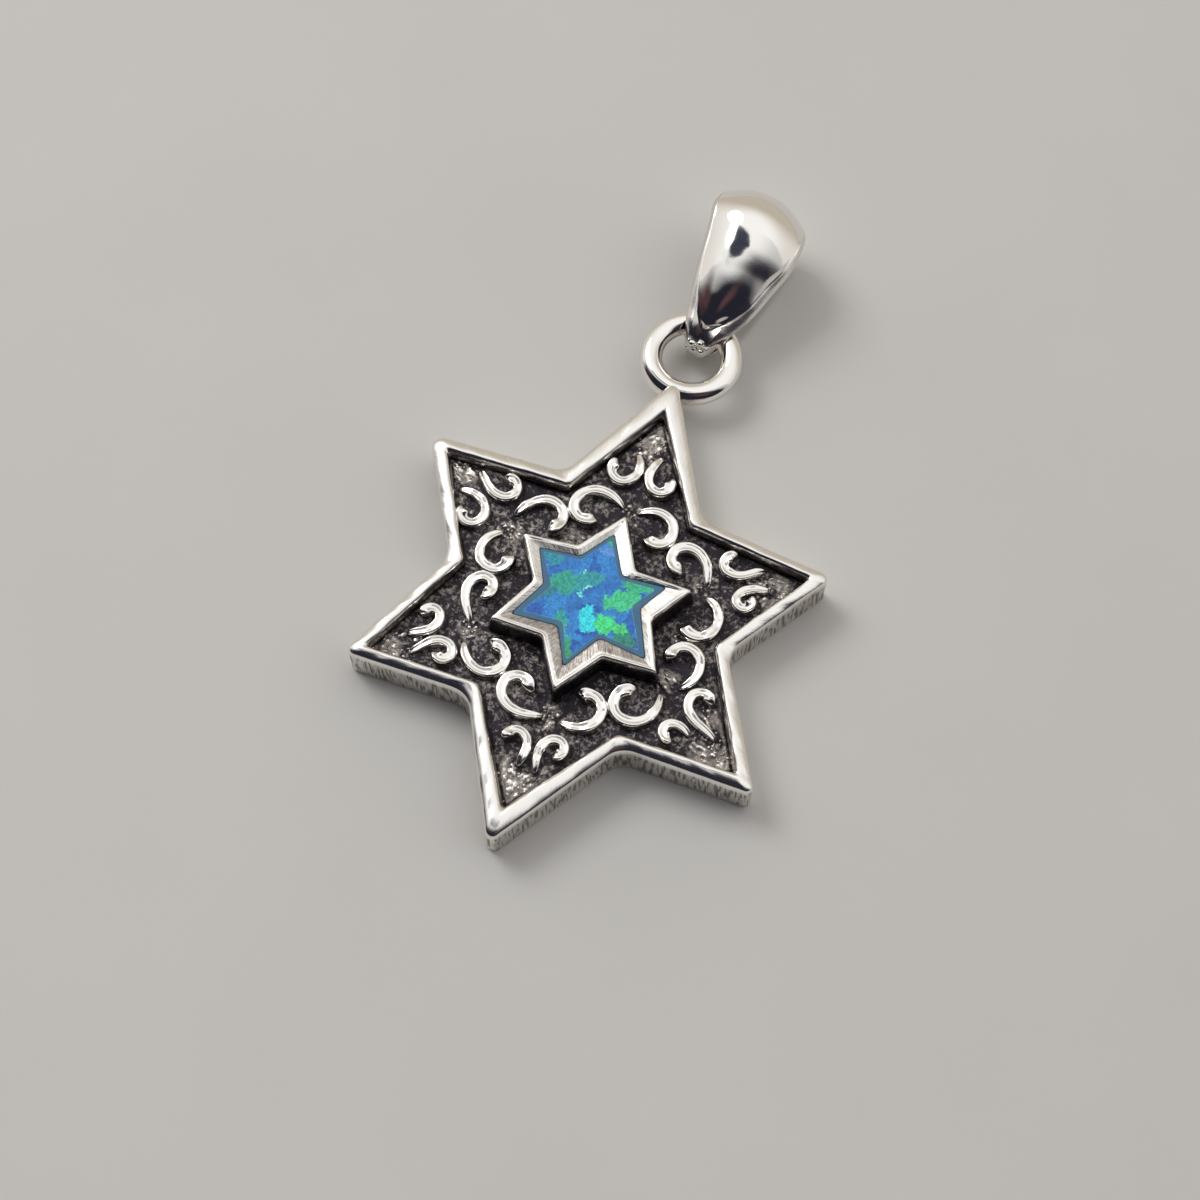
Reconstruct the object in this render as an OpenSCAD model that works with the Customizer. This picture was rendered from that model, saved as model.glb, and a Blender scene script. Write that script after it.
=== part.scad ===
// Six-pointed star pendant: a cast silver star with scroll relief, a star-shaped opal
// in a raised bezel, a soldered ring at the top point and a domed bail hanging in it.
// It lies on its flat back: X runs across the star, Y from the bottom point to the bail, Z up.

/* [Star] */
// Width over the side points, measured before they are rounded
star_w = 18.3; // [15:0.1:24]
// Height over the top and bottom points, measured before they are rounded
star_h = 22.6; // [19:0.1:30]
// Thickness from the flat back to the crest of the rim
star_t = 2.1; // [1.8:0.05:3]
// Width of the raised rim
rim_w = 0.58; // [0.45:0.01:0.75]
// Height over which the rim is rounded
rim_round = 0.34; // [0.2:0.02:0.5]
// Depth of the dark field below the rim
field_d = 0.66; // [0.5:0.02:0.9]
// Rounding of the six points
point_r = 0.28; // [0.15:0.01:0.4]
// Rounding of the six notches
notch_r = 1.1; // [0.6:0.1:1.5]
// Edge break round the back
back_break = 0.12; // [0.05:0.01:0.25]

/* [Scrolls] */
// Width of the scrolls round the bezel
ring_scroll_w = 0.52; // [0.35:0.01:0.65]
// Width of the scrolls in the points
point_scroll_w = 0.47; // [0.3:0.01:0.6]
// Height of the scrolls above the field
scroll_h = 0.38; // [0.2:0.02:0.5]

/* [Bezel and opal] */
// Reach of the bezel's points from the star's centre
bezel_reach = 4.25; // [3.8:0.01:4.5]
// Width of the bezel's rounded crest
bezel_crest = 0.2; // [0.1:0.01:0.25]
// Height over which the crest is rounded
bezel_round = 0.2; // [0.1:0.01:0.3]
// Height of the bezel's crest above the field
bezel_h = 1.2; // [1:0.02:1.5]
// Depth from the bezel's crest to the opal's edge
bezel_slope = 0.14; // [0.08:0.01:0.3]
// Thickness of the opal at its edge
opal_edge_t = 0.8; // [0.5:0.05:1]
// Height of the opal's flat top above its edge
opal_bevel = 0.05; // [0.04:0.01:0.2]
// Width of the bevel round the opal's flat top
opal_bevel_w = 0.14; // [0.08:0.01:0.2]
// Gap between the opal and its setting
setting_gap = 0.03; // [0.02:0.01:0.06]

/* [Ring] */
// Outer diameter of the soldered ring
ring_d = 4.58; // [4.3:0.02:5.4]
// Diameter of the ring's wire
ring_wire = 1.02; // [0.8:0.02:1.1]
// Length by which the top point laps over the ring
ring_lap = 0.62; // [0.4:0.05:0.9]
// Distance by which the ring is soldered on to the right of the top point
ring_shift = 0.17; // [0:0.01:0.3]
// Size of the solder fillets between the ring and the top point
solder_r = 0.5; // [0.3:0.01:0.6]

/* [Bail] */
// Length of the bail along its own axis
bail_l = 7.45; // [6.5:0.1:10]
// Width of the bail's front at its top
bail_w = 4.45; // [3.6:0.05:5.5]
// Width of the bail's narrower back at its top
bail_back_w = 3.8; // [3.2:0.05:5]
// Depth of the bail at its top, from back to front
bail_depth = 3.5; // [3:0.1:4.4]
// Thickness of the bail's wall
bail_wall = 0.34; // [0.25:0.01:0.45]
// Height of the bail's domed front above its edge
bail_crown = 0.9; // [0.5:0.05:1.2]
// Width to which the bevels along the bail's edges are charted
bail_bevel = 0.28; // [0.15:0.01:0.35]
// Gap between the ring's wire and the bail's inside at its edges, in front and behind
bail_gap = 0.16; // [0.12:0.01:0.3]
// Play between the wire and the bail's lower end
bail_play = 0.6; // [0.5:0.01:0.9]
// Gap between the bail's lower end and the surface that the pendant lies on
floor_gap = 0.02; // [0:0.01:0.2]
// Radius of the solder beads where the bail is closed
bead_r = 0.16; // [0.1:0.01:0.2]
// Angle by which the bail has slid round the ring
bail_slide = 6; // [0:1:25]
// Angle by which the bail is turned to the right from straight outwards
bail_turn = -1; // [-8:0.5:8]
// Angle by which the bail leans to its right
bail_roll = 9; // [0:1:16]

/* [Hidden] */
silver = "#cfcdc8";
opal_blue = "#2a86c4";
corner_steps = 4;
scroll_steps = 12;
point_corner = 0.08;
notch_corner = 0.3;
wall_draft = 0.08;
bezel_draft = 0.3;
scroll_sink = 0.12;
solder_turn = 20;
bead_sink = 0.06;
edge_lift = 0.02;
floor_z = star_t - field_d;
bezel_z = floor_z + bezel_h;
opal_edge_z = bezel_z - bezel_slope;
seat_z = opal_edge_z - opal_edge_t - setting_gap;

// The star's twelve corners, from the top point anticlockwise, points and notches in turn.
// Columns: x as a share of half the width, y as a share of half the height, the field's
// extra distance from the corner as a share of the rim's width, and the corner's rounding
// as a share of the points' or the notches' own.
star_corners = [
    [-0.01, 1.02, 1.2, 1],
    [-0.345, 0.495, 0.3, 1],
    [-1.01, 0.47, 0.3, 1.6],
    [-0.695, 0.015, 0.1, 1],
    [-0.975, -0.475, 0, 1.1],
    [-0.37, -0.47, 0, 1],
    [-0.035, -0.98, 0.95, 1.2],
    [0.365, -0.48, 0, 1],
    [1, -0.485, 0.25, 1],
    [0.67, 0.005, 0, 1],
    [1.005, 0.425, 0, 1.1],
    [0.34, 0.48, 0, 1]
];

// The rim's rounded section. Columns: share of the way from the outline to the field,
// and the drop below the crest as a share of the rounding's height.
rim_rows = [
    [0, 1],
    [0.05, 0.5],
    [0.18, 0.14],
    [0.42, 0],
    [0.7, 0.08],
    [0.9, 0.35],
    [1, 0.75]
];

// The bezel's and the opal's twelve corners, in step with the star's. Columns: x and y of the
// bezel's outside, x and y of the opal's opening, all as shares of the bezel's reach, and the
// extra width of the opal's bevel at the corner as a share of its own.
bezel_corners = [
    [0.033, 1, -0.009, 0.772, 0.3],
    [-0.31, 0.53, -0.247, 0.433, 0.2],
    [-0.868, 0.47, -0.661, 0.381, 0],
    [-0.593, 0.021, -0.485, 0.028, 2.2],
    [-0.852, -0.504, -0.673, -0.379, 1.2],
    [-0.306, -0.508, -0.195, -0.341, 0.8],
    [0.002, -1, 0, -0.727, 0],
    [0.329, -0.52, 0.231, -0.327, 0.2],
    [0.878, -0.489, 0.725, -0.384, 1.2],
    [0.649, 0.019, 0.499, 0.099, 3],
    [0.922, 0.456, 0.671, 0.402, 1.2],
    [0.327, 0.464, 0.219, 0.367, 0.2]
];

// The bezel's rounded crest, from the outside to the top of the slope. Columns: share of the
// way, and the drop below the crest as a share of the rounding's height.
crest_rows = [
    [0, 1],
    [0.1, 0.45],
    [0.3, 0.12],
    [0.6, 0],
    [1, 0.1]
];

// The scrolls, charted one by one. Columns: x as a share of half the star's width and
// y as a share of half its height where the tail starts, the direction in degrees at the
// tail, halfway and at the curl's end, and the length as a share of half the star's width.
ring_scrolls = [
    [-0.49, 0.27, 65, -5, -180, 0.405],
    [-0.025, 0.44, 145, 235, 425, 0.46],
    [0.045, 0.435, 35, -60, -235, 0.41],
    [0.47, 0.235, 100, 180, 390, 0.44],
    [0.48, 0.195, -15, -105, -240, 0.37],
    [0.51, -0.18, 35, 130, 295, 0.39],
    [0.44, -0.215, -70, -180, -375, 0.495],
    [0.06, -0.445, -20, 75, 240, 0.395],
    [-0.02, -0.445, -155, -245, -465, 0.475],
    [-0.48, -0.27, -75, 25, 220, 0.455],
    [-0.485, -0.2, 120, 65, -195, 0.44],
    [-0.505, 0.19, -150, -50, 125, 0.405]
];
point_scrolls = [
    [-0.73, 0.41, -40, 0, 240, 0.38],
    [-0.785, 0.3, 5, -80, -305, 0.4],
    [-0.06, 0.675, -50, -140, -335, 0.35],
    [0.065, 0.69, -110, -55, 155, 0.34],
    [0.705, 0.375, -160, -175, -390, 0.315],
    [0.75, 0.305, -155, -105, 170, 0.32],
    [0.75, -0.325, 145, 120, -105, 0.385],
    [0.635, -0.34, 145, 215, 405, 0.225],
    [-0.04, -0.66, 85, 125, 310, 0.27],
    [0.04, -0.665, 95, 45, -200, 0.335],
    [-0.745, -0.315, 25, 75, 300, 0.31],
    [-0.7, -0.385, 40, -5, -270, 0.36]
];

// A scroll's width along its length. Columns: share of the length, share of the width.
scroll_swell = [
    [0, 0.25],
    [0.04, 0.55],
    [0.15, 0.82],
    [0.45, 1],
    [0.8, 1.08],
    [0.92, 1.32],
    [1, 0.6]
];

// A scroll's ridged section above the field, from one foot over the crest to the other.
// Columns: place across as a share of half the width, and share of the height.
scroll_section = [
    [1, 0.1],
    [0.72, 0.6],
    [0, 1],
    [-0.72, 0.6],
    [-1, 0.1]
];

// The bail along its length. Columns: height as a share of its length, reach of the left and
// of the right edge as shares of half its top width, rise of the domed front as a share of the
// crown, depth by which the front is sunk between its edges as a share of the wall, and the
// width of the left and of the right bevel as shares of the bevel.
bail_rows = [
    [0, 0.3, 0.3, 0, 0.3, 0.8, 1.2],
    [0.05, 0.36, 0.36, 0, 0.45, 0.9, 1.4],
    [0.12, 0.45, 0.46, 0, 0.55, 1.2, 1.8],
    [0.165, 0.49, 0.52, 0, 0.55, 1.3, 1.9],
    [0.19, 0.51, 0.56, 0.1, 0.15, 1.3, 1.9],
    [0.26, 0.58, 0.665, 0.4, 0, 1.2, 1.8],
    [0.36, 0.67, 0.77, 0.66, 0, 0.95, 1.4],
    [0.5, 0.77, 0.88, 0.87, 0, 0.75, 1.3],
    [0.65, 0.86, 0.995, 0.98, 0, 0.65, 1],
    [0.75, 0.93, 1.01, 1, 0, 0.6, 0.85],
    [0.87, 1, 0.99, 0.92, 0, 0.6, 0.7],
    [1, 0.93, 0.88, 0.66, 0, 0.6, 0.65]
];

// The solder beads where the bail is closed. Columns: place across the bail as a share of
// its wall, and direction in degrees round the lower end, where 90 is the front.
bail_beads = [
    [-0.9, 150],
    [0.1, 142],
    [-0.35, 166],
    [0.6, 163]
];

function unit(v) = v / norm(v);
function mean(points) = [for (p = points) 1] * points / len(points);
function at_z(loop, z) = [for (p = loop) [p[0], p[1], z]];
function between(a, b, share) = [for (i = [0:len(a) - 1]) a[i] * (1 - share) + b[i] * share];
function column(list, i) = [for (row = list) row[i]];
function at_share(rows, share, i) = lookup(share, [for (row = rows) [row[0], row[i]]]);
function wrapped(angle) = angle > 180 ? angle - 360 : angle < -180 ? angle + 360 : angle;

// One corner b of an outline, rounded with radius r between its neighbours a and c
function rounded_corner(a, b, c, r) =
    let (
        to_a = unit(a - b),
        to_c = unit(c - b),
        half = acos(to_a * to_c) / 2,
        centre = b + unit(to_a + to_c) * r / sin(half),
        first = b + to_a * r / tan(half) - centre,
        last = b + to_c * r / tan(half) - centre,
        from = atan2(first[1], first[0]),
        turn = wrapped(atan2(last[1], last[0]) - from)
    )
    [for (i = [0:corner_steps]) centre + r * [
        cos(from + turn * i / corner_steps),
        sin(from + turn * i / corner_steps)
    ]];

// An outline of points and notches in turn, each rounded with its own radius
function rounded_star(corners, radii) =
    let (n = len(corners))
    [for (i = [0:n - 1]) each rounded_corner(
        corners[(i + n - 1) % n],
        corners[i],
        corners[(i + 1) % n],
        radii[i]
    )];

// Radii for the points and notches in turn
function in_turn(r_point, r_notch) = [for (i = [0:11]) i % 2 == 0 ? r_point : r_notch];

// Corners moved inwards by a distance, and further by each one's extra share of it
function inset(corners, distance, extra) =
    [for (i = [0:11])
        let (
            b = corners[i],
            to_a = unit(corners[(i + 11) % 12] - b),
            to_c = unit(corners[(i + 1) % 12] - b),
            half = acos(to_a * to_c) / 2,
            inwards = unit(to_a + to_c) * (i % 2 == 0 ? 1 : -1)
        )
        b + inwards * distance * (1 / sin(half) + extra[i])];

// A loop with small roundings, in step with the star's own outline
function small_star(corners) = rounded_star(corners, in_turn(point_corner, notch_corner));

corners = [for (row = star_corners) [row[0] * star_w / 2, row[1] * star_h / 2]];
rounding = in_turn(point_r, notch_r);
even = in_turn(0, 0);
outline = rounded_star(corners, [for (i = [0:11]) rounding[i] * star_corners[i][3]]);
field_edge = small_star(inset(corners, rim_w, column(star_corners, 2)));
bezel = [for (row = bezel_corners) bezel_reach * [row[0], row[1]]];
opening = [for (row = bezel_corners) bezel_reach * [row[2], row[3]]];
top_point = outline[floor(corner_steps / 2)];

// The bail's reach below the middle of the wire, and half its width there and at the top of
// its back, on which it lies
bail_hang = ring_wire / 2 + bail_play + bail_wall;
bail_low_half = bail_w * at_share(bail_rows, bail_hang / bail_l, 2) / 2;
bail_top_half = bail_back_w * at_share(bail_rows, 1, 2) / 2;

// The bail seen from its side: a small circle at the lower end and a large one at the top,
// joined by straight legs. Heights run along the bail from the small circle's centre.
// The small circle clears the wire, which slants across the bail as far as it is rolled.
bail_low_rise = bail_low_half * sin(bail_roll);
bail_end_r = ring_wire / 2 + bail_low_rise + bail_gap + bail_wall;
bail_top_r = bail_depth / 2;
bail_rise = bail_l - bail_end_r - bail_top_r;
bail_taper = asin((bail_top_r - bail_end_r) / bail_rise);

// The ring's middle radius and height, and the place where the bail hangs on its wire
ring_r = (ring_d - ring_wire) / 2;
ring_z = bail_end_r + bail_low_rise + floor_gap;
ring_centre = [top_point[0] + ring_shift, top_point[1] - ring_lap + ring_d / 2, ring_z];
hang_point = ring_centre + ring_r * [sin(bail_slide), cos(bail_slide), 0];
bail_yaw = bail_slide + bail_turn;

// The bail leans until its top end lies on the surface
bail_lean = asin(
    (bail_top_r * cos(bail_roll) + bail_top_half * sin(bail_roll) + edge_lift - ring_z)
    / (bail_rise + bail_end_r - bail_hang)
);
end_steps = 8;
leg_steps = 8;
top_steps = 14;

// Stations along the bail's outside. Columns: height, depth and direction of the outside.
bail_stations = [
    for (i = [0:end_steps - 1])
        let (a = 270 - bail_taper - (180 - 2 * bail_taper) * i / end_steps)
        [bail_end_r * cos(a), bail_end_r * sin(a), a],
    for (i = [0:leg_steps - 1])
        let (a = 90 + bail_taper, r = bail_end_r + (bail_top_r - bail_end_r) * i / leg_steps)
        [bail_rise * i / leg_steps + r * cos(a), r * sin(a), a],
    for (i = [0:top_steps - 1])
        let (a = 90 + bail_taper - (180 + 2 * bail_taper) * i / top_steps)
        [bail_rise + bail_top_r * cos(a), bail_top_r * sin(a), a],
    for (i = [0:leg_steps - 1])
        let (a = 270 - bail_taper, r = bail_top_r + (bail_end_r - bail_top_r) * i / leg_steps)
        [bail_rise * (1 - i / leg_steps) + r * cos(a), r * sin(a), a]
];

// The bail's section at a station, across its width: two inner corners, two outer edges
// and the dome between the creases. The dome is on the front alone, and it fades out where
// the outside turns to the back, between two values of the sine of its direction.
crown_steps = 8;
bevel_drop = 0.8 * bail_bevel;
dome_ends = -0.5;
dome_full = 0.44;
dome_square = 0.2;
function bail_section(height, depth, facing) =
    let (
        share = (height + bail_end_r) / bail_l,
        front = min(1, max(0, (sin(facing) - dome_ends) / (dome_full - dome_ends))),
        half = (bail_back_w + (bail_w - bail_back_w) * front) / 2,
        left = -half * at_share(bail_rows, share, 1),
        even_right = half * at_share(bail_rows, share, 1),
        right = even_right + (half * at_share(bail_rows, share, 2) - even_right) * front,
        dome = bail_crown * at_share(bail_rows, share, 3),
        sunk = bail_wall * at_share(bail_rows, share, 4),
        crease = left + bail_bevel * at_share(bail_rows, share, 5),
        dome_w = right - bail_bevel * at_share(bail_rows, share, 6) - crease,
        outside = [
            [left + edge_lift, -bail_wall],
            [left, -bevel_drop],
            for (i = [0:crown_steps])
                let (u = pow(2 * i / crown_steps - 1, 2))
                [
                    crease + dome_w * i / crown_steps,
                    (dome - sunk) * front * (1 - u) * (1 + dome_square * u)
                ],
            [right, -bevel_drop],
            [right - edge_lift, -bail_wall]
        ]
    )
    [for (p = outside) [
        p[0],
        height + p[1] * cos(facing),
        depth + p[1] * sin(facing)
    ]];

// A point of the bail's own frame, leaned back, rolled and turned, then hung on the ring
function hung(p) =
    let (
        y = p[1] + bail_end_r - bail_hang,
        leaned = [p[0], y * cos(bail_lean) - p[2] * sin(bail_lean), y * sin(bail_lean) + p[2] * cos(bail_lean)],
        rolled = [
            leaned[0] * cos(bail_roll) + leaned[2] * sin(bail_roll),
            leaned[1],
            leaned[2] * cos(bail_roll) - leaned[0] * sin(bail_roll)
        ]
    )
    hang_point + [
        rolled[0] * cos(bail_yaw) + rolled[1] * sin(bail_yaw),
        rolled[1] * cos(bail_yaw) - rolled[0] * sin(bail_yaw),
        rolled[2]
    ];

bail_rings = [for (s = bail_stations) [for (p = bail_section(s[0], s[1], s[2])) hung(p)]];
bail_points = [for (ring = bail_rings) each ring];

// The middle of the whole part, seen from above, is the origin
reach_x = concat(column(outline, 0), column(bail_points, 0));
reach_y = concat(column(outline, 1), column(bail_points, 1));
middle = [(min(reach_x) + max(reach_x)) / 2, (min(reach_y) + max(reach_y)) / 2, 0];

// Triangles between neighbouring rings of n points each
function side_faces(count, n, closed) =
    [for (r = [0:count - (closed ? 1 : 2)], i = [0:n - 1])
        let (
            a = r * n + i,
            b = r * n + (i + 1) % n,
            c = ((r + 1) % count) * n + (i + 1) % n,
            d = ((r + 1) % count) * n + i
        )
        each [[a, c, b], [a, d, c]]];

// A solid through rings of points, closed at both ends by fans round their middles
module loft(rings) {
    n = len(rings[0]);
    count = len(rings);
    last = (count - 1) * n;
    polyhedron(
        concat([for (ring = rings) each ring], [mean(rings[0]), mean(rings[count - 1])]),
        concat(
            side_faces(count, n, false),
            [for (i = [0:n - 1]) [count * n, i, (i + 1) % n]],
            [for (i = [0:n - 1]) [count * n + 1, last + (i + 1) % n, last + i]]
        )
    );
}

// A solid through rings of points whose last ring meets the first
module closed_loft(rings) {
    polyhedron(
        [for (ring = rings) each ring],
        side_faces(len(rings), len(rings[0]), true)
    );
}

module placed() {
    translate(-middle) children();
}

// The direction of a scroll at a share of its length, through its three charted directions
function direction(row, share) =
    row[2] * (1 - share) * (1 - 2 * share)
    + row[3] * 4 * share * (1 - share)
    + row[4] * share * (2 * share - 1);

function scroll_path(row) =
    let (step = row[5] * star_w / 2 / scroll_steps)
    [for (
        i = 0, p = [row[0] * star_w / 2, row[1] * star_h / 2];
        i <= scroll_steps;
        p = p + step * [
            cos(direction(row, (i + 0.5) / scroll_steps)),
            sin(direction(row, (i + 0.5) / scroll_steps))
        ],
        i = i + 1
    ) p];

// One scroll, sunk a little into the field
module scroll(row, w) {
    path = scroll_path(row);
    loft([for (i = [0:scroll_steps])
        let (
            a = direction(row, i / scroll_steps),
            half = w * lookup(i / scroll_steps, scroll_swell) / 2,
            side = [-sin(a), cos(a)],
            section = concat(
                [[half, -scroll_sink]],
                [for (s = scroll_section) [half * s[0], scroll_h * s[1]]],
                [[-half, -scroll_sink]]
            )
        )
        [for (q = section) [path[i][0] + side[0] * q[0], path[i][1] + side[1] * q[0], floor_z + q[1]]]
    ]);
}

// The flat back, the side wall, the rounded rim, the sunken field and the bezel, in one turn
module casting() {
    rim = [for (row = rim_rows) at_z(between(outline, field_edge, row[0]), star_t - rim_round * row[1])];
    outside = small_star(bezel);
    slope_top = small_star(inset(bezel, bezel_crest, even));
    crest = [for (row = crest_rows) at_z(between(outside, slope_top, row[0]), bezel_z - bezel_round * row[1])];
    loft(concat(
        [at_z(between(outline, field_edge, back_break / rim_w), 0)],
        [at_z(outline, back_break)],
        rim,
        [at_z(between(outline, field_edge, 1 + wall_draft), floor_z)],
        [at_z(small_star(inset(bezel, -bezel_draft * bezel_crest, even)), floor_z)],
        crest,
        [at_z(small_star(opening), opal_edge_z)],
        [at_z(small_star(opening), seat_z)]
    ));
}

module soldered_ring() {
    translate(ring_centre)
        rotate_extrude($fn = 64)
            translate([ring_r, 0]) circle(d = ring_wire, $fn = 24);
}

// A fillet of solder on each side of the top point, where the ring's wire reaches it
module solder() {
    for (side = [-1, 1])
        translate(ring_centre + (ring_r + ring_wire / 2 - solder_r) * [side * sin(solder_turn), -cos(solder_turn), 0])
            sphere(r = solder_r, $fn = 24);
}

module star() {
    color(silver) placed() {
        casting();
        for (row = ring_scrolls) scroll(row, ring_scroll_w);
        for (row = point_scrolls) scroll(row, point_scroll_w);
        soldered_ring();
        solder();
    }
}

// The opal fills the bezel with a bevel round its flat top
module opal() {
    edge = small_star(inset(opening, setting_gap, even));
    top = small_star(inset(opening, setting_gap + opal_bevel_w, column(bezel_corners, 4)));
    color(opal_blue) placed() loft([
        at_z(edge, seat_z + setting_gap),
        at_z(edge, opal_edge_z),
        at_z(top, opal_edge_z + opal_bevel)
    ]);
}

module bail() {
    color(silver) placed() {
        closed_loft(bail_rings);
        for (row = bail_beads)
            let (reach = bail_end_r - bead_sink)
            translate(hung([bail_wall * row[0], reach * cos(row[1]), reach * sin(row[1])]))
                sphere(r = bead_r, $fn = 24);
    }
}

star();
opal();
bail();
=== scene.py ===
from math import asin, atan2, cos, pi, radians, sin, tan
from types import SimpleNamespace

import bpy
from mathutils import Matrix, Vector, kdtree, noise


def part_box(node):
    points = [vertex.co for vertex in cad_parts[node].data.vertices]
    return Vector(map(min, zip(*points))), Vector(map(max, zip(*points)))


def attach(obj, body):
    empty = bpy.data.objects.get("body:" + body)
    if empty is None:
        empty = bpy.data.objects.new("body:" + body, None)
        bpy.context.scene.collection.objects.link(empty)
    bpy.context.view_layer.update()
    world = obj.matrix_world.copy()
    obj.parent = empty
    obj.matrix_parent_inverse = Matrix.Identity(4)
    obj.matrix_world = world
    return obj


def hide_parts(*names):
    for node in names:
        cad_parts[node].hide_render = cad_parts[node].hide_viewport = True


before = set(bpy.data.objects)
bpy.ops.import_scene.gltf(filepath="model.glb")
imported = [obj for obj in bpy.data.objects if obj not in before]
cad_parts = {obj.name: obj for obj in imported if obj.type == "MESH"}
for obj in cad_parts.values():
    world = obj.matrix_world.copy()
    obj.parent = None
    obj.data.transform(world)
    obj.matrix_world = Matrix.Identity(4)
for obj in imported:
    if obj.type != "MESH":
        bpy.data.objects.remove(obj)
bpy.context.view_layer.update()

bl_info = {
    "name": "Star pendant",
    "version": (1, 0, 0),
    "blender": (4, 5, 0),
    "location": "View3D > Sidebar > Pendant",
    "description": "A cast silver star with scroll relief, an opal, a soldered ring and a bail",
    "category": "Add Mesh",
}

MM = 0.001

# The star's twelve corners, from the top point anticlockwise, points and notches in turn.
# Columns: x as a share of half the width, y as a share of half the height, the field's
# extra distance from the corner as a share of the rim's width, and the corner's rounding
# as a share of the points' or the notches' own.
STAR_CORNERS = (
    (-0.01, 1.02, 1.2, 1),
    (-0.345, 0.495, 0.3, 1),
    (-1.01, 0.47, 0.3, 1.6),
    (-0.695, 0.015, 0.1, 1),
    (-0.975, -0.475, 0, 1.1),
    (-0.37, -0.47, 0, 1),
    (-0.035, -0.98, 0.95, 1.2),
    (0.365, -0.48, 0, 1),
    (1, -0.485, 0.25, 1),
    (0.67, 0.005, 0, 1),
    (1.005, 0.425, 0, 1.1),
    (0.34, 0.48, 0, 1),
)

# The rim's section, a sloping outer band and a rounded crest: share of the way from the
# outline to the field, and the drop below the crest as a share of the rounding's height.
RIM_ROWS = (
    (0, 1),
    (0.05, 0.62),
    (0.12, 0.43),
    (0.3, 0.21),
    (0.45, 0.1),
    (0.6, 0.02),
    (0.72, 0),
    (0.85, 0.12),
    (0.94, 0.38),
    (1, 0.75),
)

# The bezel's and the opal's twelve corners, in step with the star's. Columns: x and y of the
# bezel's outside, then x and y of the opal's opening, as shares of the bezel's reach.
BEZEL_CORNERS = (
    (0.033, 1, -0.009, 0.772),
    (-0.31, 0.53, -0.247, 0.433),
    (-0.868, 0.47, -0.661, 0.381),
    (-0.593, 0.021, -0.485, 0.028),
    (-0.852, -0.504, -0.673, -0.379),
    (-0.306, -0.508, -0.195, -0.341),
    (0.002, -1, 0, -0.727),
    (0.329, -0.52, 0.231, -0.327),
    (0.878, -0.489, 0.725, -0.384),
    (0.649, 0.019, 0.499, 0.099),
    (0.922, 0.456, 0.671, 0.402),
    (0.327, 0.464, 0.219, 0.367),
)

# The bezel's rounded crest, from the outside to the top of its slope: share of the way, and
# the drop below the crest as a share of the rounding's height.
CREST_ROWS = ((0, 1), (0.1, 0.45), (0.3, 0.12), (0.6, 0), (1, 0.1))

# The opal's clear border is wider on some sides. Extra inset of its flat top at the twelve
# corners, in shares of the bevel's width.
BORDER_EXTRA = (0.3, 0.2, 0, 1.4, 1.2, 0.8, 0, 0.2, 1.0, 1.6, 1.0, 0.2)

# The scrolls. Columns: x as a share of half the star's width and y as a share of half its
# height where the tail starts, the direction in degrees at the tail, halfway and at the
# curl's end, and the length as a share of half the star's width.
RING_SCROLLS = (
    (-0.49, 0.27, 65, -5, -180, 0.405),
    (-0.025, 0.44, 145, 235, 425, 0.46),
    (0.045, 0.435, 35, -60, -235, 0.41),
    (0.47, 0.235, 100, 180, 390, 0.44),
    (0.48, 0.195, -15, -105, -240, 0.37),
    (0.51, -0.18, 35, 130, 295, 0.39),
    (0.44, -0.215, -70, -180, -375, 0.495),
    (0.06, -0.445, -20, 75, 240, 0.395),
    (-0.02, -0.445, -155, -245, -465, 0.475),
    (-0.48, -0.27, -75, 25, 220, 0.455),
    (-0.485, -0.2, 120, 65, -195, 0.44),
    (-0.505, 0.19, -150, -50, 125, 0.405),
)
POINT_SCROLLS = (
    (-0.73, 0.41, -40, 0, 240, 0.38),
    (-0.785, 0.3, 5, -80, -305, 0.4),
    (-0.06, 0.675, -50, -140, -335, 0.35),
    (0.065, 0.69, -110, -55, 155, 0.34),
    (0.705, 0.375, -160, -175, -390, 0.315),
    (0.75, 0.305, -155, -105, 170, 0.32),
    (0.75, -0.325, 145, 120, -105, 0.385),
    (0.635, -0.34, 145, 215, 405, 0.225),
    (-0.04, -0.66, 85, 125, 310, 0.27),
    (0.04, -0.665, 95, 45, -200, 0.335),
    (-0.745, -0.315, 25, 75, 300, 0.31),
    (-0.7, -0.385, 40, -5, -270, 0.36),
)

# A scroll's width along its length, drawn down to round ends: share of the length, and share
# of the charted width.
SCROLL_SWELL = (
    (0, 0.16),
    (0.02, 0.4),
    (0.05, 0.58),
    (0.1, 0.74),
    (0.2, 0.92),
    (0.45, 1.05),
    (0.8, 1.12),
    (0.92, 1.3),
    (0.96, 1.2),
    (0.985, 0.85),
    (1, 0.3),
)

# Half of a scroll's section, from its foot over its rounded shoulder to the shallow hollow
# along its crest: shares of half the width and of the height.
SCROLL_SECTION = (
    (1, -0.3),
    (1, 0.25),
    (0.98, 0.48),
    (0.92, 0.7),
    (0.81, 0.88),
    (0.67, 0.98),
    (0.52, 1),
    (0.34, 0.96),
    (0.16, 0.925),
    (0, 0.915),
)

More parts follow.
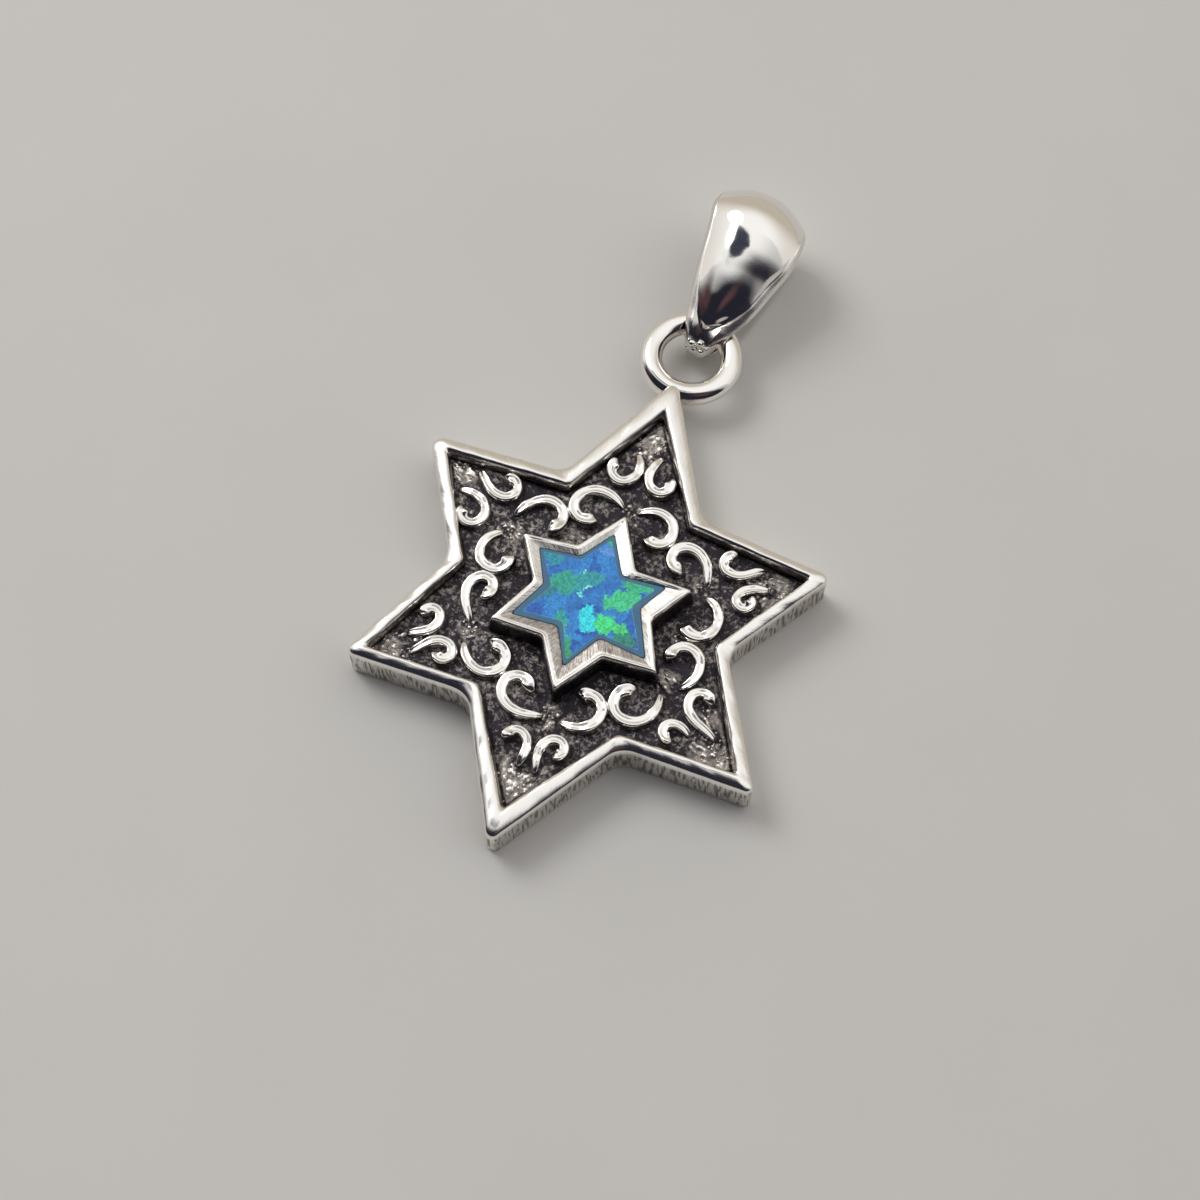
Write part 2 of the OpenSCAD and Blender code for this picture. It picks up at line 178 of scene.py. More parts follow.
# The bail along its length. Columns: height as a share of its length, reach of the left and
# of the right edge as shares of half its top width, rise of the domed front as a share of the
# crown, depth by which the front is sunk between its edges as a share of the wall, and the
# width of the left and of the right bevel as shares of the bevel.
BAIL_ROWS = (
    (0, 0.3, 0.3, 0, 0.3, 0.8, 1.2),
    (0.05, 0.36, 0.36, 0, 0.45, 0.9, 1.4),
    (0.12, 0.45, 0.46, 0, 0.55, 1.2, 1.8),
    (0.165, 0.49, 0.52, 0, 0.55, 1.3, 1.9),
    (0.19, 0.51, 0.56, 0.1, 0.15, 1.3, 1.9),
    (0.26, 0.58, 0.665, 0.4, 0, 1.2, 1.8),
    (0.36, 0.67, 0.77, 0.66, 0, 0.95, 1.4),
    (0.5, 0.77, 0.88, 0.87, 0, 0.75, 1.3),
    (0.65, 0.86, 0.995, 0.98, 0, 0.65, 1),
    (0.75, 0.93, 1.01, 1, 0, 0.6, 0.85),
    (0.87, 1, 0.99, 0.92, 0, 0.6, 0.7),
    (1, 0.93, 0.88, 0.66, 0, 0.6, 0.65),
)

# The solder beads where the bail is closed: place across the bail as a share of its wall,
# direction in degrees round the lower end, and size as a share of the beads' radius.
BAIL_BEADS = (
    (-0.9, 150, 1),
    (0.1, 142, 0.9),
    (-0.35, 166, 1),
    (0.6, 163, 0.9),
    (-1.3, 168, 0.6),
    (1.1, 150, 0.55),
    (-0.4, 152, 0.6),
)

# Where the casting's grain stands up as bright granules. Columns: x and y in mm from the
# star's centre, the patch's reach in mm, and how thickly it is strewn.
GRAIN_PATCHES = (
    (-7.5, 4.6, 0.75, 1),
    (-7.2, -4.5, 0.85, 0.8),
    (-0.2, -8.2, 0.85, 0.6),
    (7.1, -4.0, 0.8, 0.6),
    (6.9, 3.6, 0.6, 0.6),
    (0.1, 8.5, 1.0, 0.6),
    (4.2, 2.8, 0.4, 0.9),
    (4.1, 0.2, 0.35, 0.6),
    (4.1, -1.9, 0.4, 0.7),
    (-4.4, 2.3, 0.4, 0.9),
    (-4.5, -2.4, 0.35, 0.7),
    (0.2, 4.9, 0.35, 0.6),
    (0.1, -4.9, 0.35, 0.6),
    (-6.2, -3.6, 0.4, 0.5),
    (6.3, 3.6, 0.4, 0.4),
    (6.2, -2.9, 0.45, 0.4),
    (-6.3, 3.6, 0.3, 0.5),
)

# The opal's play of colour. Columns: x and y in mm from the star's centre, half width and
# half height in mm, turn in degrees, and colour.
OPAL_PATCHES = (
    (-2.1, -0.2, 0.75, 0.4, 28, "#2a8294"),
    (-1.15, 0.5, 0.8, 0.5, 30, "#2ba58f"),
    (-0.3, 0.95, 0.6, 0.42, 20, "#2e9ea6"),
    (-2.15, 1.5, 0.5, 0.36, -10, "#2796a8"),
    (0.1, 2.45, 0.4, 0.26, 20, "#5b93dc"),
    (-0.1, 3.0, 0.3, 0.3, 0, "#3cc487"),
    (1.75, 1.4, 0.72, 0.42, 15, "#37bb85"),
    (1.3, 0.5, 0.85, 0.45, 25, "#41cd8b"),
    (1.9, -1.2, 0.55, 0.42, 20, "#2c876e"),
    (-0.85, -1.05, 0.27, 0.42, 15, "#2aa69c"),
    (-0.5, -1.6, 0.12, 0.36, 25, "#4ab8b0"),
    (-0.25, -2.0, 0.28, 0.24, 20, "#31a37c"),
    (-0.1, -2.5, 0.3, 0.34, 0, "#34a268"),
    (0.95, -0.75, 0.46, 0.42, 10, "#42e588"),
    (1.6, -0.75, 0.38, 0.27, 20, "#48d87c"),
    (0.2, -0.75, 0.36, 0.6, 20, "#30e2ee"),
    (-0.65, 1.2, 0.16, 0.12, 20, "#74e6d2"),
    (-0.25, 0.6, 0.15, 0.1, 20, "#80eade"),
    (-0.47, 0.33, 0.12, 0.12, 20, "#6be0dc"),
)

# What stands round the pendant and shows in its polish. Columns: direction, half width along
# the pendant's X, half height and turn in degrees, soft edge as a share of them, colour, and
# strength.
ROOM = (
    ((0, 1, 0), (88, 46), 0, 0.3, "#c9c0b2", 0.9),
    ((0, -1, 0), (88, 77), 0, 0.03, "#282833", 0.85),
    ((0.5, -0.5, 0.72), (15, 11), 0, 0.7, "#6b5052", 0.6),
    ((-0.88, -0.24, 0.4), (10, 10), 0, 0.7, "#6b5052", 0.5),
    ((-0.28, -0.05, 0.96), (22, 3.3), -6, 0.12, "#3a3e4c", 0.9),
)

# Fixed lengths in mm
POINT_CORNER, NOTCH_CORNER = 0.08, 0.3  # rounding of the field's, bezel's and opal's corners
GRAIN_CELL, LUMP_SIZE = 0.24, 0.5  # size of the cast field's grains and of its lumps
EDGE_LIFT = 0.02  # height of the bail's top edge above the floor, and slant of its side walls
BEAD_SINK = 0.06  # how far a bead sits in the bail's end
BEVEL_BULGE = 0.03  # how far a bevel is rounded outwards
OPAL_DIP = 0.01  # how far the opal's flat top sinks in its middle
SOLDER_MELT = 0.045  # cell that melts the ring and its solder into one skin
PATINA_RISE = 0.11  # height over which the patina fades up a scroll
FILE_SPACING, FILE_LENGTH = 0.13, 1.1  # of the file marks on the walls
OPAL_FLAKE, OPAL_CELL = 0.085, 0.55  # the opal's flakes and the patches of its body colour
DRIFT_SIZE, OPAL_DRIFT = 0.32, 0.75  # of the noise that makes its patches ragged, and its reach
RIPPLE_SIZE, MOTTLE_SIZE = 1.1, 9  # of the opal's ripples and the floor's mottle
BUMP_DEPTH, RIPPLE_DEPTH = 0.05, 0.04  # depth of the bumps in the silver and in the opal
FLOOR_HALF = 1500  # half the floor's side

# Fixed shares
DRAFT = 0.3  # spread of the bezel's foot, in widths of its crest
WALL_DRAFT = 0.08  # slant of the rim's inner wall, in widths of the rim
CREST_SWAY = 0.05  # how far the bezel's crest sways, in its own widths
HAND_SWELL = 0.12  # how much a scroll's width wavers
OPEN_SHADE = (0.05, 0.3)  # how much patina the open field lacks, and its patches besides
BEVEL_DROP = 1.1  # depth of the bail's bevels, in their widths
DOME_ENDS, DOME_FULL = -0.5, 0.44  # sine of the turn where the dome starts and is whole
RECESS_DEPTH = 0.55  # depth of the bail's recess, in its walls
DOME_BEND, DOME_TIP = 0.03, 0.05  # how the dome's lower edge rises at its sides and dips between

# The solder fillets: the turn of the upper two from the ring's lowest point and how flat they
# are, then place, radii and turn of the lower one
SOLDER_TURN, SOLDER_FLAT = radians(20), 0.98
FILLET_PLACE, FILLET_RADII, FILLET_TURN = (-0.45, -0.1, -0.1), (0.62, 0.42, 0.42), radians(-32)

# Roughness of the bright metal of each piece: satin where it was cast and polished by hand,
# near a mirror on drawn wire and rolled sheet, dull on the granules
CAST_POLISH, RELIEF_POLISH, GRAIN_POLISH = 0.17, 0.14, 0.3
WIRE_POLISH, SHEET_POLISH, SOLDER_POLISH = 0.07, 0.06, 0.12
DARK_ROUGH, BRUSHED_ROUGH = 0.36, 0.16  # roughness of the patina, and what file marks add

# The hand's slow and quick sway and its heave along the rim: seed, and waves to the mm
HAND_WAVES = ((5, 0.8), (9, 2.2), (20, 1.1))

# Patina, painted shade and brush marks, 0 to 1
BACK_MARKS, BREAK_MARKS, RIM_MARKS, SLOPE_MARKS = 0.5, 0.7, 0.1, 0.45
SIDE_PATINA, RIM_PATINA, SEAT_PATINA = 0.14, 0.4, 0.8
# The second of these darkens the bezel's slopes on its lower side, which face towards +Y: painted
# shade, not patina
CREST_PATINA, FACING_SLOPE_SHADE, SLOPE_FOOT_PATINA = 0.45, 0.36, 0.25
INSIDE_PATINA, INSIDE_MARKS, FLANK_PATINA, BEVEL_MARKS = 0.1, 0.3, 0.05, 0.9
RECESS_PATINA, RECESS_MARKS, RELIEF_PATINA = 0.12, 0.4, 0.9

# Noise in the silver: size in mm, detail and roughness of its cast grain, of the specks on
# the grain's rubbed tips, of the clouds where the specks lie thick, and of the long shallow
# waves that the polishing wheel leaves
SILVER_NOISE = ((0.11, 4, 0.65), (0.17, 4, 0.65), (1.1, 2, 0.5), (1.4, 1, 0.5))
CLOUD_SHARE = 0.4  # how much the clouds add to the specks
FILE_TURN = radians(35)
GRAIN_BUMP, MARK_BUMP, WAVE_BUMP = (0.9, 0.02), 0.9, 0.6  # the grain's grows with the patina

# What a pattern's numbers are mapped from and to
SPECK_RANGE, LIFT_RANGE = (0.64, 0.9, 0, 0.5), (0.3, 0.8, 0, 0.95)  # to rubbed metal
MARK_RANGE = (0.52, 0.4, 0, 0.4)  # to patina
WORN_RANGE, BLACK_RANGE = (0, 0.45, 0, 1), (0.35, 0.85, 0, 1)  # from patina to its colours
PATCH_RANGE, FLAKE_RANGE = (1.02, 0.92, 0, 0.95), (0, 1, 0.7, 1.22)  # in the opal
# The painted highlight along the opal's flat top: its range and its place on the border
HIGHLIGHT_RANGE, HIGHLIGHT_PLACE, BORDER_SHARE = (0, 0.22, 0.55, 0), 0.25, 0.92  # at the opal's edge
MOTTLE_RANGE = (0, 1, 0.97, 1.02)

# How finely the shapes are stepped
CAD_CORNER_STEPS, CORNER_STEPS, EDGE_STEPS, OPAL_EDGE_STEPS = 4, 8, 40, 16
BREAK_STEPS, SIDE_STEPS, RIM_STEPS, WALL_STEPS, FIELD_STEPS = 4, 7, 26, 6, 50
FOOT_STEPS, CREST_STEPS, SLOPE_STEPS, OPAL_BEVEL_STEPS = 9, 16, 10, 12
SCROLL_STEPS, FINDER_STEPS, PATCH_SIDES, RING_STEPS, WIRE_STEPS = 60, 24, 24, 160, 48
BALL_RINGS, BALL_SIDES = 20, 32
END_STEPS, LEG_STEPS, TOP_STEPS, BACK_STEPS = 36, 72, 60, 30
INSIDE_STEPS, FLANK_STEPS, BEVEL_STEPS, DOME_STEPS = 10, 3, 6, 48
OPAL_FLAT_ROWS = (0.9, 0.7, 0.45, 0.2, 0.08)

# How many granules lie on a square metre where they are thickest, the smallest and the
# largest as shares of their radius, and how far they are turned, in radians
GRAIN_DENSITY, GRAIN_SEED = 20e6, 7
GRAIN_SIZES = ((0.5, 0.5, 0.35), (1.5, 1.5, 0.95))
GRAIN_TURNS = ((-0.4, -0.4, 0), (0.4, 0.4, 6.28))
GRAIN_SINK = 0.02  # how far below the field their patina starts, in mm
GRAIN_THIN = 0.3  # how thickly a patch is strewn at its edge

SHARP_ANGLE = radians(42)  # edges that turn more are sharp
LAMP_TOWARDS = (-0.86, 0.38, 1)
SENSOR_W = 36  # in mm
CAMERA_REACH = 10  # how far the camera sees, in metres
# Colour of the painted highlight along the opal's flat top
OPAL_PAINTED_HIGHLIGHT = "#9cc6d8"
WHITE = (1, 1, 1, 1)


def in_metres(name, mm, description):
    """A length property, given in mm and kept in metres."""
    return bpy.props.FloatProperty(
        name=name, description=description, default=mm * MM, min=0, precision=5, unit="LENGTH"
    )


def plain(name, value, description, low=0.0, high=1.0):
    """A property without a unit."""
    return bpy.props.FloatProperty(
        name=name, description=description, default=value, min=low, max=high
    )


def in_degrees(name, value, description):
    """An angle property, given in degrees and kept in radians."""
    return bpy.props.FloatProperty(
        name=name, description=description, default=radians(value), subtype="ANGLE"
    )


def linear(text):
    """An sRGB hex value as linear red, green, blue and alpha."""
    parts = [int(text[i : i + 2], 16) / 255 for i in (1, 3, 5)]
    return [p / 12.92 if p <= 0.04045 else ((p + 0.055) / 1.055) ** 2.4 for p in parts] + [1.0]


def colour(name, text, description):
    """A colour property, given as an sRGB hex value."""
    return bpy.props.FloatVectorProperty(
        name=name,
        description=description,
        default=linear(text)[:3],
        size=3,
        min=0,
        max=1,
        subtype="COLOR",
    )


class StarSizes(bpy.types.PropertyGroup):
    """Sizes of the cast star, its scrolls, its bezel and its opal"""

    star_w: in_metres("Star width", 18.3, "Width over the side points, before rounding")
    star_h: in_metres("Star height", 22.6, "Height over the top and bottom points, before rounding")
    star_t: in_metres("Star thickness", 2.1, "From the flat back to the crest of the rim")
    rim_w: in_metres("Rim width", 0.58, "Width of the raised rim")
    rim_round: in_metres("Rim rounding", 0.34, "Height over which the rim is rounded")
    rim_wave: in_metres("Rim wave", 0.045, "How far hand polishing moves the rim's crest")
    field_d: in_metres("Field depth", 0.66, "Depth of the dark field below the rim")
    field_lump: in_metres("Field lumps", 0.075, "Height of the lumps in the cast field")
    point_r: in_metres("Point rounding", 0.28, "Rounding of the six points")
    notch_r: in_metres("Notch rounding", 1.1, "Rounding of the six notches")
    back_break: in_metres("Back edge break", 0.12, "Edge break round the back")
    ring_scroll_w: in_metres("Ring scroll width", 0.52, "Width of the scrolls round the bezel")
    point_scroll_w: in_metres("Point scroll width", 0.47, "Width of the scrolls in the points")
    scroll_h: in_metres("Scroll height", 0.38, "Height of the scrolls above the field")
    grain_r: in_metres("Granule radius", 0.07, "Radius of the granules in the field")
    bezel_reach: in_metres("Bezel reach", 4.25, "Reach of the bezel's points")
    bezel_crest: in_metres("Bezel crest", 0.2, "Width of the bezel's rounded crest")
    bezel_round: in_metres("Bezel rounding", 0.2, "Height over which the crest is rounded")
    bezel_h: in_metres("Bezel height", 1.2, "Height of the bezel's crest above the field")
    bezel_slope: in_metres("Bezel slope", 0.14, "Depth from the crest to the opal's edge")
    opal_edge_t: in_metres("Opal edge", 0.8, "Thickness of the opal at its edge")
    opal_bevel: in_metres("Opal bevel height", 0.012, "Height of the flat top above the edge")
    opal_bevel_w: in_metres("Opal bevel width", 0.14, "Width of the bevel round the flat top")
    setting_gap: in_metres("Setting gap", 0.03, "Gap between the opal and its setting")


class BailSizes(bpy.types.PropertyGroup):
    """Sizes of the soldered ring and of the bail that hangs in it"""

    ring_d: in_metres("Ring diameter", 4.58, "Outer diameter of the soldered ring")
    ring_wire: in_metres("Ring wire", 1.02, "Diameter of the ring's wire")
    ring_lap: in_metres("Ring lap", 0.62, "How far the top point laps over the ring")
    ring_shift: in_metres("Ring shift", 0.17, "How far right of the top point the ring sits")
    solder_r: in_metres("Solder fillet", 0.5, "Size of the solder fillets at the ring")
    bail_l: in_metres("Bail length", 7.45, "Length of the bail along its own axis")
    bail_w: in_metres("Bail width", 4.45, "Width of the bail's front at its top")
    bail_back_w: in_metres("Bail back width", 3.8, "Width of the bail's narrower back at its top")
    bail_depth: in_metres("Bail depth", 3.5, "Depth of the bail at its top")
    bail_wall: in_metres("Bail wall", 0.34, "Thickness of the bail's wall")
    bail_crown: in_metres("Bail crown", 0.9, "Height of the domed front above its edge")
    bail_bevel: in_metres("Bail bevel", 0.28, "Charted width of the bevels along the edges")
    bail_gap: in_metres("Bail gap", 0.16, "Gap between the ring's wire and the bail's inside")
    bail_play: in_metres("Bail play", 0.6, "Play between the wire and the bail's lower end")
    floor_gap: in_metres("Floor gap", 0.02, "Gap below the bail's lower end")
    bead_r: in_metres("Solder bead", 0.16, "Radius of the solder beads")
    bail_slide: in_degrees("Bail slide", 6, "How far the bail has slid round the ring")
    bail_turn: in_degrees("Bail turn", -1, "Turn to the right from straight outwards")
    bail_roll: in_degrees("Bail roll", 9, "How far the bail leans to its right")


class PendantFinish(bpy.types.PropertyGroup):
    """Colours of the silver, its patina and the opal"""

    silver: colour("Silver", "#f6f3ee", "Polished sterling silver")
    oxide: colour("Patina", "#332f34", "Blackened silver in the field")
    worn_oxide: colour("Worn patina", "#a39b94", "Patina where the polishing cloth reached it")
    opal_deep: colour("Opal, deep blue", "#1952ae", "The opal's darker body colour")
    opal_light: colour("Opal, light blue", "#2f8dd6", "The opal's lighter body colour")
    opal_edge: colour("Opal edge", "#3a6680", "The opal's clear bevelled border")
    floor: colour("Floor", "#dcdad6", "Pale floor below the pendant")


class PendantStage(bpy.types.PropertyGroup):
    """Camera, light and floor"""

    lens: plain("Lens", 70, "Focal length in mm", 10, 300)
    distance: in_metres("Distance", 99.54, "From the camera to the point it looks at")
    azimuth: in_degrees("Azimuth", 20, "Camera's turn to the right of the pendant's axis")
    elevation: in_degrees("Elevation", 67, "Camera's height above the floor")
    aim_x: plain("Aim X", 0.0516, "Aim in mm from the star's centre, across the pendant", -50, 50)
    aim_y: plain("Aim Y", 1.2265, "Aim in mm from the star's centre, along the pendant", -50, 50)
    lamp_radiance: plain("Lamp", 5.0, "Brightness of the soft lamp at the upper left", 0, 50)
    lamp_size: in_metres("Lamp size", 170, "Diameter of the soft lamp")
    lamp_distance: in_metres("Lamp distance", 350, "From the lamp to the pendant")


def own_properties(group):
    """A group's own properties by name."""
    return {k: p for k, p in group.bl_rna.properties.items() if k not in ("rna_type", "name")}


def measured(scene):
    """The pendant's sizes, lengths in mm and angles in radians.

    Its middle is the offset from the star's own centre to the frame's origin.
    """
    size = SimpleNamespace()
    for group in (scene.pendant_star, scene.pendant_bail):
        for key, prop in own_properties(group).items():
            value = getattr(group, key)
            setattr(size, key, value / MM if prop.unit == "LENGTH" else value)
    outline = star_shape(size, CAD_CORNER_STEPS, 0).outline
    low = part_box("star")[0]
    size.middle = Vector(
        (min(p.x for p in outline) - low.x / MM, min(p.y for p in outline) - low.y / MM, 0)
    )
    return size


def shares(steps, first=0, last=0):
    """Equal steps from 0 to 1, less so many at the start and at the end."""
    return [i / steps for i in range(first, steps + 1 - last)]


def row_value(rows, share, column):
    """A table's value at a share, on straight lines between its rows."""
    for low, high in zip(rows, rows[1:]):
        if share <= high[0]:
            step = min(1, max(0, (share - low[0]) / (high[0] - low[0])))
            return low[column] + (high[column] - low[column]) * step
    return rows[-1][column]


def smooth_value(rows, share, column):
    """A table's value at a share, on a smooth line that stays between its rows."""
    places = [row[0] for row in rows]
    values = [row[column] for row in rows]
    last = len(rows) - 1
    rises = [(values[i + 1] - values[i]) / (places[i + 1] - places[i]) for i in range(last)]

    def slope(i):
        if i == 0 or i == last:
            return rises[min(i, last - 1)]
        before, after = rises[i - 1], rises[i]
        return 0 if before * after <= 0 else 2 * before * after / (before + after)

    share = min(max(share, places[0]), places[-1])
    i = max(k for k in range(last) if places[k] <= share)
    gap = places[i + 1] - places[i]
    t = (share - places[i]) / gap
    return (
        values[i] * (2 * t**3 - 3 * t**2 + 1)
        + slope(i) * gap * (t**3 - 2 * t**2 + t)
        + values[i + 1] * (3 * t**2 - 2 * t**3)
        + slope(i + 1) * gap * (t**3 - t**2)
    )


def eased(value, low, high):
    """0 below low, 1 above high, and smooth between them."""
    t = min(1, max(0, (value - low) / (high - low)))
    return t * t * (3 - 2 * t)


def rounded_corner(a, b, c, r, steps):
    """Corner b of an outline, rounded with radius r between its neighbours a and c."""
    to_a, to_c = (a - b).normalized(), (c - b).normalized()
    half = to_a.angle(to_c) / 2
    centre = b + (to_a + to_c).normalized() * r / sin(half)
    first = b + to_a * r / tan(half) - centre
    last = b + to_c * r / tan(half) - centre
    start = atan2(first.y, first.x)
    turn = (atan2(last.y, last.x) - start + pi) % (2 * pi) - pi
    ways = [start + turn * i / steps for i in range(steps + 1)]
    return [centre + r * Vector((cos(way), sin(way))) for way in ways]


def rounded_star(corners, radii, steps, edge_steps):
    """An outline of rounded corners, with edge_steps points along each straight edge."""
    n = len(corners)
    arcs = [
        rounded_corner(corners[i - 1], corners[i], corners[(i + 1) % n], radii[i], steps)
        for i in range(n)
    ]
    loop = []
    for arc, follows in zip(arcs, arcs[1:] + arcs[:1]):
        loop += arc + [arc[-1].lerp(follows[0], t) for t in shares(edge_steps + 1, 1, 1)]
    return loop


def inset(corners, distance, extra=(0,) * 12):
    """Corners moved inwards by a distance, and further by each one's extra share of it."""
    moved = []
    for i, b in enumerate(corners):
        to_a = (corners[i - 1] - b).normalized()
        to_c = (corners[(i + 1) % 12] - b).normalized()
        half = to_a.angle(to_c) / 2
        inwards = (to_a + to_c).normalized() * (1 if i % 2 == 0 else -1)
        moved.append(b + inwards * distance * (1 / sin(half) + extra[i]))
    return moved


def star_shape(size, steps, edge_steps):
    """The star's loops and heights in mm, before the whole is centred."""
    corners = [Vector((r[0] * size.star_w / 2, r[1] * size.star_h / 2)) for r in STAR_CORNERS]
    rounding = [size.point_r, size.notch_r] * 6
    radii = [r * row[3] for r, row in zip(rounding, STAR_CORNERS)]
    bezel = [Vector(r[:2]) * size.bezel_reach for r in BEZEL_CORNERS]
    opening = [Vector(r[2:]) * size.bezel_reach for r in BEZEL_CORNERS]

    def loop(points):
        return rounded_star(points, [POINT_CORNER, NOTCH_CORNER] * 6, steps, edge_steps)

    floor_z = size.star_t - size.field_d
    bezel_z = floor_z + size.bezel_h
    opal_edge_z = bezel_z - size.bezel_slope
    outline = rounded_star(corners, radii, steps, edge_steps)
    return SimpleNamespace(
        outline=outline,
        field_edge=loop(inset(corners, size.rim_w, [row[2] for row in STAR_CORNERS])),
        bezel_outer=loop(bezel),
        bezel_foot=loop(inset(bezel, -DRAFT * size.bezel_crest)),
        bezel_crest=loop(inset(bezel, size.bezel_crest)),
        bezel_inner=loop(opening),
        opal_edge=loop(inset(opening, size.setting_gap)),
        opal_top=loop(inset(opening, size.setting_gap + size.opal_bevel_w, BORDER_EXTRA)),
        top_point=outline[steps // 2],
        floor_z=floor_z,
        bezel_z=bezel_z,
        opal_edge_z=opal_edge_z,
        seat_z=opal_edge_z - size.opal_edge_t - size.setting_gap,
    )


def skin(rings, cap_first=False, cap_last=False, closed=False):
    """Points and faces through rings of points, in order from the bottom outwards and up."""
    n = len(rings[0])
    points = [p for ring in rings for p in ring]
    faces = []
    for r in range(len(rings) if closed else len(rings) - 1):
        low, high = r * n, ((r + 1) % len(rings)) * n
        faces += [(low + i, low + (i + 1) % n, high + (i + 1) % n, high + i) for i in range(n)]
    if cap_first:
        faces += [(len(points), (i + 1) % n, i) for i in range(n)]
        points.append(sum(rings[0], Vector((0, 0, 0))) / n)
    if cap_last:
        last = (len(rings) - 1) * n
        faces += [(len(points), last + i, last + (i + 1) % n) for i in range(n)]
        points.append(sum(rings[-1], Vector((0, 0, 0))) / n)
    return points, faces


def new_mesh(name, points, faces, size, values=None):
    """A mesh of points in mm, with a number at each point for each of the given values."""
    mesh = bpy.data.meshes.new(name)
    mesh.from_pydata([(p - size.middle) * MM for p in points], [], faces)
    for key, numbers in (values or {}).items():
        mesh.attributes.new(key, "FLOAT", "POINT").data.foreach_set("value", numbers)
    mesh.update()
    return mesh


def linked(name, data):
    """A new object in the scene."""
    piece = bpy.data.objects.new(name, data)
    bpy.context.scene.collection.objects.link(piece)
    return piece


def new_piece(name, mesh, material=None):
    """An object of a mesh, smooth except at its sharp edges."""
    if material:
        mesh.materials.append(material)
    mesh.shade_smooth()
    mesh.set_sharp_from_angle(angle=SHARP_ANGLE)
    return linked(name, mesh)


def finish_piece(piece, node):
    """Fix a piece to the pendant's root, and hide the solid that it stands for."""
    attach(piece, "root")
    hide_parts(node)


def baked(name, source):
    """A new object with the evaluated mesh of another, which is then deleted."""
    view = bpy.context.evaluated_depsgraph_get()
    mesh = bpy.data.meshes.new_from_object(source.evaluated_get(view), depsgraph=view)
    bpy.data.objects.remove(source)
    if not mesh.polygons:
        raise RuntimeError(f"{name} came out empty")
    return new_piece(name, mesh)


def add(tree, kind, sockets=(), **settings):
    """Add a node to a tree, with its settings, and a value or a source for its sockets.

    They are given by name or number, or as a list in their own order. A colour mix has its
    factor at 0 and its colours at 6 and 7. A node that is a source feeds its first output.
    """
    node = tree.nodes.new(kind)
    for key, value in settings.items():
        setattr(node, key, value)
    for key, item in sockets.items() if isinstance(sockets, dict) else enumerate(sockets):
        if isinstance(item, (bpy.types.Node, bpy.types.NodeSocket)):
            tree.links.new(getattr(item, "outputs", [item])[0], node.inputs[key])
        else:
            node.inputs[key].default_value = item
    return node


def per_mm(mm):
    """The texture scale that gives features of about this many mm."""
    return 1 / (mm * MM)


def new_material(name):
    """An empty node material, its tree and its Object coordinates."""
    material = bpy.data.materials.new(name)
    material.use_nodes = True
    material.node_tree.nodes.clear()
    place = add(material.node_tree, "ShaderNodeTexCoord").outputs["Object"]
    return material, material.node_tree, place


